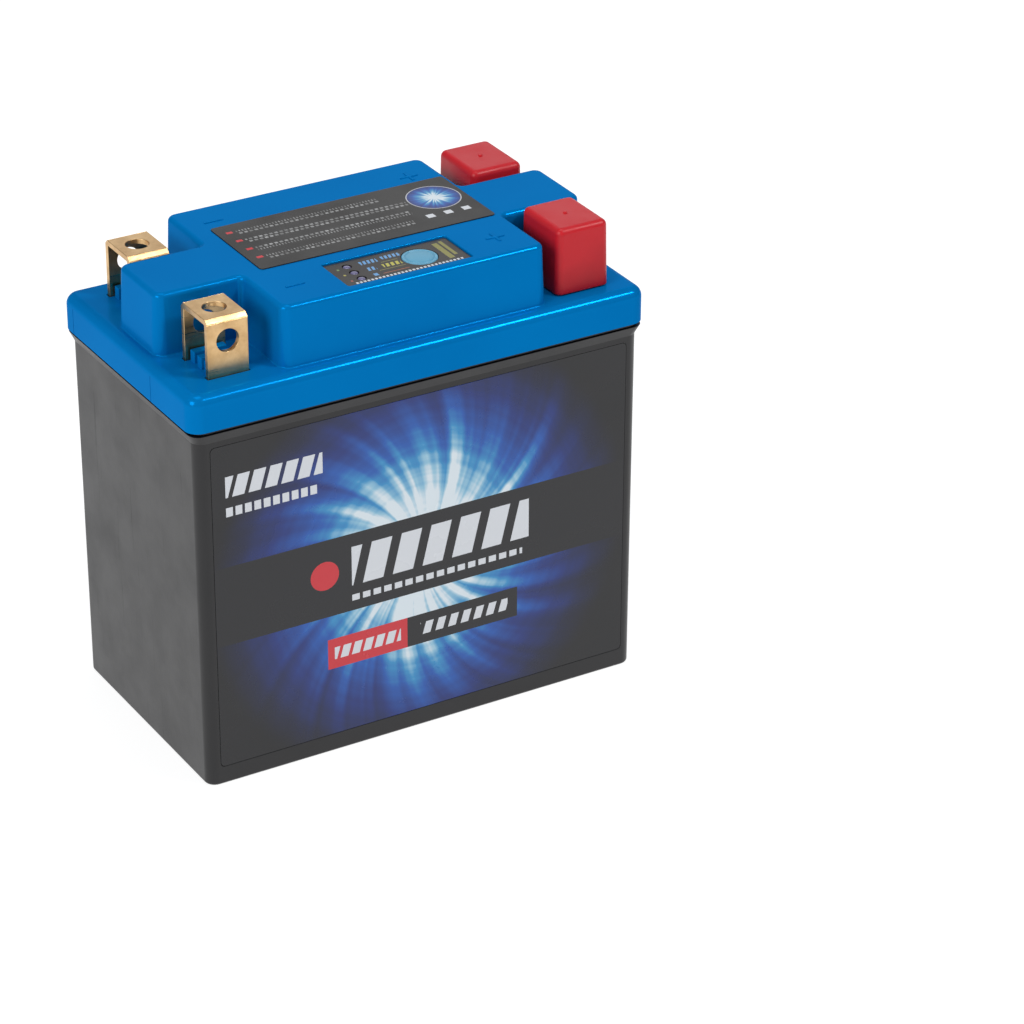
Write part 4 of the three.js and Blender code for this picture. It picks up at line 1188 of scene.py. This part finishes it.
caseShape = {
    "baseLength": 131, "length": 131.7, "depth": 73.8, "flareBottom": 101.2, "rimTop": 103.9,
    "rimLength": 134, "rimDepth": 75.8, "corner": 3.1, "baseEdge": 0.9, "wall": 3.2, "floor": 2.5,
    "faceLength": 123.96, "faceBottom": 5.42, "faceTop": 99.58, "faceCorner": 1.2, "recess": 0.6,
    "lip": 0.25, "faceEdge": 0.12,
}


def makeCase():
    halfLength, halfDepth = caseShape["baseLength"] / 2, caseShape["depth"] / 2
    edge, flareBottom, rimTop = caseShape["baseEdge"], caseShape["flareBottom"], caseShape["rimTop"]
    case = addBlock("case_tub", (-halfLength, -halfDepth, edge), (halfLength, halfDepth, flareBottom))
    roundCorners(case, caseShape["corner"], lambda place: True, 10)
    pick(case, "FACE", lambda place, normal: normal.z < -0.9)
    roundRim(edge, 5)
    bpy.ops.object.mode_set(mode="OBJECT")
    pick(case, "FACE", lambda place, normal: normal.z > 0.9)
    taper = caseShape["length"] / caseShape["baseLength"]
    bpy.ops.transform.resize(value=(taper, 1, 1), center_override=(0, 0, flareBottom * mm))
    bpy.ops.mesh.extrude_region_move(TRANSFORM_OT_translate={"value": (0, 0, (rimTop - flareBottom) * mm)})
    flare = (caseShape["rimLength"] / caseShape["length"], caseShape["rimDepth"] / caseShape["depth"], 1)
    bpy.ops.transform.resize(value=flare, center_override=(0, 0, rimTop * mm))
    bpy.ops.mesh.inset(thickness=caseShape["lip"] * mm, depth=0)
    bpy.ops.mesh.inset(thickness=(caseShape["wall"] - caseShape["lip"]) * mm, depth=0)
    bpy.ops.mesh.extrude_region_move(
        TRANSFORM_OT_translate={"value": (0, 0, (caseShape["floor"] - rimTop) * mm)})
    bpy.ops.object.mode_set(mode="OBJECT")
    reach = caseShape["faceLength"] / 2
    for side in (-1, 1):
        near, far = sorted((side * (halfDepth - caseShape["recess"]), side * (halfDepth + 2 * past)))
        recess = addBlock("face recess", (-reach, near, caseShape["faceBottom"]),
                          (reach, far, caseShape["faceTop"]))
        bevelEdges(recess, caseShape["faceCorner"], 5, lambda place, along: abs(along.y) > 0.9)
        combine(case, recess)
        bevelEdges(case, caseShape["faceEdge"], 2, lambda place, along: (
            abs(place.y - side * halfDepth) < 0.01 and abs(place.x) < reach + 0.05 and abs(along.y) < 0.5
            and caseShape["faceBottom"] - 0.1 < place.z < caseShape["faceTop"] + 0.1
        ))
    finishPiece(case, darkPlastic, "battery", ["case"], 15)


makeCase()

print("battery: terminals")

terminalShape = {
    "width": 11.6, "depth": 14.5, "top": 131, "foot": 109.9, "sheet": 1.5, "bend": 1.1,
    "hole": 6.3, "sideHoleZ": 124.6, "groove": 0.16, "edge": 0.16,
}


def makeTerminal():
    # made over the origin and copied to its four places
    reachX, reachY = terminalShape["width"] / 2, terminalShape["depth"] / 2
    top, foot, sheet = terminalShape["top"], terminalShape["foot"], terminalShape["sheet"]
    bridge = addBlock("bridge", (-reachX, -reachY, foot), (reachX, reachY, top))
    bevelEdges(bridge, terminalShape["bend"], 1,
               lambda place, along: abs(along.x) > 0.9 and place.z > top - 0.1)
    inner = terminalShape["bend"] - sheet * (2 - math.sqrt(2))
    inside = addBlock("inside", (-reachX - past, -reachY + sheet, foot - past),
                      (reachX + past, reachY - sheet, top - sheet))
    bevelEdges(inside, inner, 1, lambda place, along: abs(along.x) > 0.9 and place.z > top - sheet - 0.1)
    combine(bridge, inside)
    hole = terminalShape["hole"] / 2
    combine(bridge, addRound("top hole", hole, (0, 0, top - 2 * sheet), (0, 0, top + past)))
    combine(bridge, addRound("side hole", hole, (0, -reachY - past, terminalShape["sideHoleZ"]),
                             (0, reachY + past, terminalShape["sideHoleZ"])))
    softenEdges(bridge, terminalShape["edge"], 3, 30)
    # a fine pressed line along both edges of each bend
    for side in (-1, 1):
        for y, z in ((reachY - terminalShape["bend"], top), (reachY, top - terminalShape["bend"])):
            combine(bridge, addRound("bend line", terminalShape["groove"], (-reachX - past, side * y, z),
                                     (reachX + past, side * y, z), 12))
    return bridge


terminal = makeTerminal()
terminalX, terminalY = lidShape["terminalX"], lidShape["terminalY"]
for end, side in (("negative", -1), ("positive", 1)):
    for row, across in (("front", -1), ("rear", 1)):
        bridge = copyTo(terminal, "bridge_" + end + "_" + row, (side * terminalX, across * terminalY, 0))
        finishPiece(bridge, brass, "battery", ["terminal_" + end + "_" + row], 30)
bpy.data.objects.remove(terminal, do_unlink=True)

print("battery: terminal caps")

capShape = {
    "length": 16, "depth": 19.5, "top": 134, "bottom": 115.25, "shift": -0.8, "wall": 0.9, "corner": 1.9,
    "ceiling": 131.3, "mouth": 0.25, "crownDrop": 0.15, "hollowCorner": 0.8, "lipEdge": 0.3,
    "pipRadius": 0.6, "pipHeight": 0.35, "pipEdge": 0.3,
}


def makeCap():
    # made over the origin and copied to its two places
    reachX, reachY = capShape["length"] / 2, capShape["depth"] / 2
    bottom, top, corner = capShape["bottom"], capShape["top"], capShape["corner"]
    cap = addBlock("cap", (-reachX, -reachY, bottom), (reachX, reachY, top - corner))
    roundCorners(cap, corner, lambda place: True, 10)
    pick(cap, "FACE", lambda place, normal: normal.z > 0.9)
    draw = ((reachX - capShape["mouth"]) / reachX, (reachY - capShape["mouth"]) / reachY, 1)
    bpy.ops.transform.resize(value=draw, center_override=(0, 0, top * mm))
    roundRim(corner - capShape["crownDrop"], 9)
    bpy.ops.object.mode_set(mode="OBJECT")
    wall = capShape["wall"]
    hollow = addBlock("cap hollow", (-reachX + wall, -reachY + wall, bottom - past),
                      (reachX - wall, reachY - wall, capShape["ceiling"]))
    roundCorners(hollow, capShape["hollowCorner"], lambda place: True, 4)
    combine(cap, hollow)
    pipTop = top + capShape["pipHeight"] - capShape["crownDrop"]
    pip = addRound("pip", capShape["pipRadius"], (0, 0, top - past), (0, 0, pipTop), 24)
    softenEdges(pip, capShape["pipEdge"], 4)
    combine(cap, pip, "UNION")
    bevelEdges(cap, capShape["lipEdge"], 4,
               lambda place, along: abs(place.z - bottom) < 0.01 and abs(along.z) < 0.1)
    return cap


plainCap = makeCap()
for row, across in (("front", -1), ("rear", 1)):
    cap = copyTo(plainCap, "cap_" + row, (terminalX + capShape["shift"], across * terminalY, 0))
    finishPiece(cap, redRubber, row + "_cap", ["terminal_cap_" + row])
bpy.data.objects.remove(plainCap, do_unlink=True)

print("battery: indicator panel, button and lamps")

panelShape = {
    "low": (-17.75, -30.1, 130.6), "high": (18.55, -15.5, 131.5), "corner": 0.5, "edge": 0.1,
    "button": (7, -22.8), "buttonHole": 4.95,
    "lampX": -12.3, "lampY": (-18.8, -22.8, -26.8), "lampHole": 1.3,
}


def makePanel():
    panel = addBlock("indicator_film", panelShape["low"], panelShape["high"])
    roundCorners(panel, panelShape["corner"], lambda place: True, 4)
    under, over = panelShape["high"][2] - 2 * past, panelShape["high"][2] + past
    x, y = panelShape["button"]
    combine(panel, addRound("button hole", panelShape["buttonHole"], (x, y, under), (x, y, over), 64))
    x = panelShape["lampX"]
    for y in panelShape["lampY"]:
        combine(panel, addRound("lamp hole", panelShape["lampHole"], (x, y, under), (x, y, over), 32))
    softenEdges(panel, panelShape["edge"], 2)
    return panel


def dome(radius, rise, steps=8):
    # the selected round face closes in and rises to a low crown
    for step in range(steps):
        turn, nextTurn = (math.pi / 2 * k / (steps + 0.5) for k in (step, step + 1))
        inward = radius * (math.cos(turn) - math.cos(nextTurn))
        upward = rise * (math.sin(nextTurn) - math.sin(turn))
        bpy.ops.mesh.inset(thickness=inward * mm, depth=upward * mm)


buttonShape = {
    "radius": 4.8, "flange": 5.6, "flangeLow": 129.3, "flangeTop": 130.3, "rimTop": 131.55,
    "rimEdge": 0.25, "rimWidth": 0.5, "groove": 0.12, "grooveSlope": 0.1, "grooveFloor": 0.15,
    "domeRadius": 3.8, "crown": 0.45, "stem": 1.6, "stemRoot": 0.5, "foot": 127.2,
}


def makeButton():
    x, y = panelShape["button"]
    rimTop, rimEdge = buttonShape["rimTop"], buttonShape["rimEdge"]
    button = addRound("button_cap", buttonShape["radius"], (x, y, buttonShape["flangeLow"]),
                      (x, y, rimTop - rimEdge), 64)
    pick(button, "FACE", lambda place, normal: normal.z > 0.9)
    roundRim(rimEdge, 4)
    bpy.ops.mesh.inset(thickness=buttonShape["rimWidth"] * mm, depth=0)
    bpy.ops.mesh.inset(thickness=buttonShape["grooveSlope"] * mm, depth=-buttonShape["groove"] * mm)
    bpy.ops.mesh.inset(thickness=buttonShape["grooveFloor"] * mm, depth=0)
    dome(buttonShape["domeRadius"], buttonShape["crown"], 10)
    bpy.ops.object.mode_set(mode="OBJECT")
    combine(button, addRound("flange", buttonShape["flange"], (x, y, buttonShape["flangeLow"]),
                             (x, y, buttonShape["flangeTop"]), 64), "UNION")
    combine(button, addRound("stem", buttonShape["stem"], (x, y, buttonShape["foot"]),
                             (x, y, buttonShape["flangeTop"] - buttonShape["stemRoot"]), 32), "UNION")
    return button


lampShape = {
    "radius": 1.2, "bottom": 124.8, "collar": 125.6, "body": 1.1, "shoulder": 131.1, "crown": 0.55,
}


def makeLamp():
    # made over the origin and copied to its three places
    bottom = lampShape["bottom"]
    lamp = addRound("lamp", lampShape["body"], (0, 0, bottom), (0, 0, lampShape["shoulder"]), 32)
    pick(lamp, "FACE", lambda place, normal: normal.z > 0.9)
    dome(lampShape["body"], lampShape["crown"], 8)
    bpy.ops.object.mode_set(mode="OBJECT")
    combine(lamp, addRound("collar", lampShape["radius"], (0, 0, bottom), (0, 0, lampShape["collar"]), 32),
            "UNION")
    return lamp


panel = makePanel()
finishPiece(panel, panelFilm, "battery", ["indicator_panel"])
button = makeButton()
finishPiece(button, paleButtonPlastic, "button", ["test_button"])
plainLamp = makeLamp()
for level, lampY in zip(("full", "middle", "low"), panelShape["lampY"]):
    lamp = copyTo(plainLamp, "lamp_" + level, (panelShape["lampX"], lampY, 0))
    finishPiece(lamp, lampPlastic, "battery", ["indicator_led_" + level], 40)
bpy.data.objects.remove(plainLamp, do_unlink=True)

print("battery: cells and packing")

cellShape = {
    "count": 4, "pitch": 28, "bottom": 6.5, "height": 65, "radius": 13, "heel": 1,
    "grooveStart": 58, "neck": 12.3, "grooveStep": 0.8, "shoulder": 63, "crimp": 1, "crimpWidth": 1.5,
    "lidSlope": 0.4, "button": 5.8, "buttonRise": 1.1, "buttonEdge": 0.3, "baseRing": 2, "baseDent": 0.3,
}


def liftFace(rise, grow=1):
    # extrudes the selected face upwards and widens or narrows it about the upright axis
    bpy.ops.mesh.extrude_region_move(TRANSFORM_OT_translate={"value": (0, 0, rise * mm)})
    bpy.ops.transform.resize(value=(grow, grow, 1), center_override=(0, 0, 0))


def makeCell():
    # made over the origin, with the crimped can and its button upwards
    radius, step = cellShape["radius"], cellShape["grooveStep"]
    narrow = cellShape["neck"] / radius
    cell = addRound("cell", radius, (0, 0, 0), (0, 0, cellShape["grooveStart"]), 64)
    bevelEdges(cell, cellShape["heel"], 4, lambda place, along: place.z < 0.01 and abs(along.z) < 0.1)
    pick(cell, "FACE", lambda place, normal: normal.z > 0.9)
    liftFace(step, narrow)
    liftFace(step)
    liftFace(step, 1 / narrow)
    liftFace(cellShape["shoulder"] - cellShape["grooveStart"] - 3 * step)
    crimp, crimpWidth, slope = (cellShape[key] for key in ("crimp", "crimpWidth", "lidSlope"))
    roundRim(crimp, 5)
    bpy.ops.mesh.inset(thickness=crimpWidth * mm, depth=0)
    bpy.ops.mesh.inset(thickness=slope * mm, depth=-slope * mm)
    flat = radius - (crimp + crimpWidth + slope) - cellShape["button"]
    bpy.ops.mesh.inset(thickness=flat * mm, depth=0)
    bpy.ops.mesh.inset(thickness=cellShape["buttonEdge"] * mm, depth=cellShape["buttonRise"] * mm)
    roundRim(cellShape["buttonEdge"], 3)
    bpy.ops.object.mode_set(mode="OBJECT")
    pick(cell, "FACE", lambda place, normal: normal.z < -0.9)
    bpy.ops.mesh.inset(thickness=cellShape["baseRing"] * mm, depth=0)
    bpy.ops.mesh.inset(thickness=cellShape["baseDent"] * mm, depth=-cellShape["baseDent"] * mm)
    bpy.ops.object.mode_set(mode="OBJECT")
    return cell


plainCell = makeCell()
for k in range(cellShape["count"]):
    x = (k - (cellShape["count"] - 1) / 2) * cellShape["pitch"]
    z = cellShape["bottom"]
    if k % 2:
        cell = copyTo(plainCell, f"crimped_cell_{k + 1}", (x, 0, z))
    else:
        cell = copyTo(plainCell, f"crimped_cell_{k + 1}", (x, 0, z + cellShape["height"]), (1, 1, -1))
    finishPiece(cell, cellSleeve, "battery", [f"cell_{k + 1}"])
bpy.data.objects.remove(plainCell, do_unlink=True)

foamShape = {"corner": 2.5, "cuts": 5, "random": 0.35, "broad": 30, "border": 1}


def makeFoam(row, seed):
    low, high = ([value / mm for value in corner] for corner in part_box("foam_pad_" + row))
    pad = addBlock("foam_block_" + row, low, high)
    pick(pad, "FACE", lambda place, normal: True)
    bpy.ops.mesh.subdivide(number_cuts=foamShape["cuts"])
    bpy.ops.object.mode_set(mode="OBJECT")
    pick(pad, "VERT", lambda place, normal: all(
        min(value - a, b - value) > foamShape["border"]
        for value, a, b in zip(place, low, high) if b - a > foamShape["broad"]
    ))
    bpy.ops.transform.vertex_random(offset=foamShape["random"] * mm, uniform=1, normal=0, seed=seed)
    bpy.ops.object.mode_set(mode="OBJECT")
    softenEdges(pad, foamShape["corner"], 4)
    activate(pad)
    bpy.ops.object.modifier_add(type="SUBSURF")
    pad.modifiers[-1].levels = 2
    bpy.ops.object.modifier_apply(modifier=pad.modifiers[-1].name)
    finishPiece(pad, greyFoam, "battery", ["foam_pad_" + row], 60, False)


for row, seed in (("front", 3), ("rear", 8)):
    makeFoam(row, seed)

print("battery: strips, boards and chip")

stripShape = {
    "corner": 1.2, "edge": 0.12, "weld": 0.55, "weldDepth": 0.15, "weldStep": 2.2, "weldInset": 4.5,
}


def makeStrip(node, welded):
    # a flat metal strip with rounded corners and four weld dimples near each welded end
    low, high = ([value / mm for value in corner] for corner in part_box(node))
    strip = addBlock(node + "_strip", low, high)
    roundCorners(strip, stripShape["corner"], lambda place: True, 5)
    middle, face = (low[1] + high[1]) / 2, high[2]
    if welded:
        for endX in (low[0] + stripShape["weldInset"], high[0] - stripShape["weldInset"]):
            for stepX in (-1, 1):
                for stepY in (-1, 1):
                    x = endX + stepX * stripShape["weldStep"] / 2
                    y = middle + stepY * stripShape["weldStep"] / 2
                    depth = stripShape["weldDepth"]
                    combine(strip, addRound("weld", stripShape["weld"], (x, y, face - depth),
                                            (x, y, face + past), 16))
    softenEdges(strip, stripShape["edge"], 2)
    finishPiece(strip, nickel, "battery", [node])


for node in ("cell_link_1_2", "cell_link_2_3", "cell_link_3_4", "cell_tab_negative", "cell_tab_positive"):
    makeStrip(node, True)
for node in ("strap_negative", "strap_positive"):
    makeStrip(node, False)

boardShape = {
    "corner": 1.5, "edge": 0.15, "partLength": 2, "partWidth": 1.2, "partHeight": 0.6, "endLength": 0.4,
    "endOverhang": 0.05, "partEdge": 0.06, "endEdge": 0.08, "screwInset": 4, "screwHole": 1.4,
}


def makeBoard(node, bored, partRows):
    low, high = ([value / mm for value in corner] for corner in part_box(node))
    board = addBlock(node + "_sheet", low, high)
    roundCorners(board, boardShape["corner"], lambda place: True, 5)
    if bored:
        inset = boardShape["screwInset"]
        for x in (low[0] + inset, high[0] - inset):
            for y in (low[1] + inset, high[1] - inset):
                combine(board, addRound("hole", boardShape["screwHole"], (x, y, low[2] - past),
                                        (x, y, high[2] + past), 32))
    softenEdges(board, boardShape["edge"], 2)
    finishPiece(board, boardLacquer, "battery", [node])
    # rows of small soldered parts on the upper face
    long, wide, tall, tip, proud = (boardShape[key] for key in (
        "partLength", "partWidth", "partHeight", "endLength", "endOverhang",
    ))
    body = addBlock("body", (tip - long / 2, -wide / 2, 0), (long / 2 - tip, wide / 2, tall))
    softenEdges(body, boardShape["partEdge"], 2)
    ends = join([
        addBlock("end", (startX, -wide / 2 - proud, 0), (startX + tip, wide / 2 + proud, tall + proud))
        for startX in (-long / 2, long / 2 - tip)
    ])
    softenEdges(ends, boardShape["endEdge"], 2)
    bodies, tips = [], []
    for startX, y, count, step in partRows:
        for k in range(count):
            place = (startX + k * step, y, high[2])
            bodies.append(copyTo(body, "body copy", place))
            tips.append(copyTo(ends, "end copy", place))
    for loose in (body, ends):
        bpy.data.objects.remove(loose, do_unlink=True)
    for parts, kind, material in ((bodies, "bodies", blackPlastic), (tips, "ends", nickel)):
        group = join(parts)
        group.name = node + "_part_" + kind
        finishPiece(group, material, "battery", [])


# each row of small parts: where it starts along X, its Y, how many, how far apart
makeBoard("balance_board", True, [(-36, 8, 8, 4), (2, -7, 9, 4), (4, 1, 4, 7)])
makeBoard("indicator_board", False, [(-16, -13.5, 5, 3.4), (14, -17, 2, 4)])

chipShape = {
    "edge": 0.25, "dimple": 0.6, "dimpleInset": 1.5, "dimpleDepth": 0.2,
    "legs": 7, "legPitch": 1.27, "legWidth": 0.42, "legReach": 1.1, "legRoot": 0.2,
    "footHeight": 0.25, "stepLow": 0.2, "stepHigh": 0.9, "stepReach": 0.3,
}


def makeChip():
    low, high = ([value / mm for value in corner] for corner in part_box("balance_chip"))
    reach, floor = chipShape["legReach"], low[2]
    chip = addBlock("chip_body", (low[0], low[1] + reach, floor), (high[0], high[1] - reach, high[2]))
    x, y = low[0] + chipShape["dimpleInset"], low[1] + reach + chipShape["dimpleInset"]
    combine(chip, addRound("dimple", chipShape["dimple"], (x, y, high[2] - chipShape["dimpleDepth"]),
                           (x, y, high[2] + past), 24))
    softenEdges(chip, chipShape["edge"], 3)
    finishPiece(chip, blackPlastic, "battery", ["balance_chip"])
    # each leg is a flat foot and an upright step that meets the body
    legs = []
    half, root = chipShape["legWidth"] / 2, reach + chipShape["legRoot"]
    foot = (0, 0, chipShape["footHeight"])
    step = (reach - chipShape["stepReach"], chipShape["stepLow"], chipShape["stepHigh"])
    for side, edge in ((-1, low[1]), (1, high[1])):
        for k in range(chipShape["legs"]):
            x = (low[0] + high[0]) / 2 + (k - (chipShape["legs"] - 1) / 2) * chipShape["legPitch"]
            for start, below, above in (foot, step):
                near, far = sorted((edge - side * start, edge - side * root))
                legs.append(addBlock("leg", (x - half, near, floor + below),
                                     (x + half, far, floor + above)))
    group = join(legs)
    group.name = "chip_legs"
    finishPiece(group, nickel, "battery", [])


makeChip()

print("battery: parts kept from the frame")

paintNodes(["seam_seal", "cell_tray_lower", "cell_tray_upper", "test_switch"], blackPlastic)
paintNodes(["label_front"], frontFilm)
paintNodes(["label_top"], topFilm)
paintNodes([f"board_screw_{k}" for k in (1, 2, 3, 4)], nickel)
paintNodes(["lead_negative", "indicator_cable"], blackInsulation)
paintNodes(["lead_positive"] + [f"sense_wire_{k}" for k in (1, 2, 3)], redInsulation)
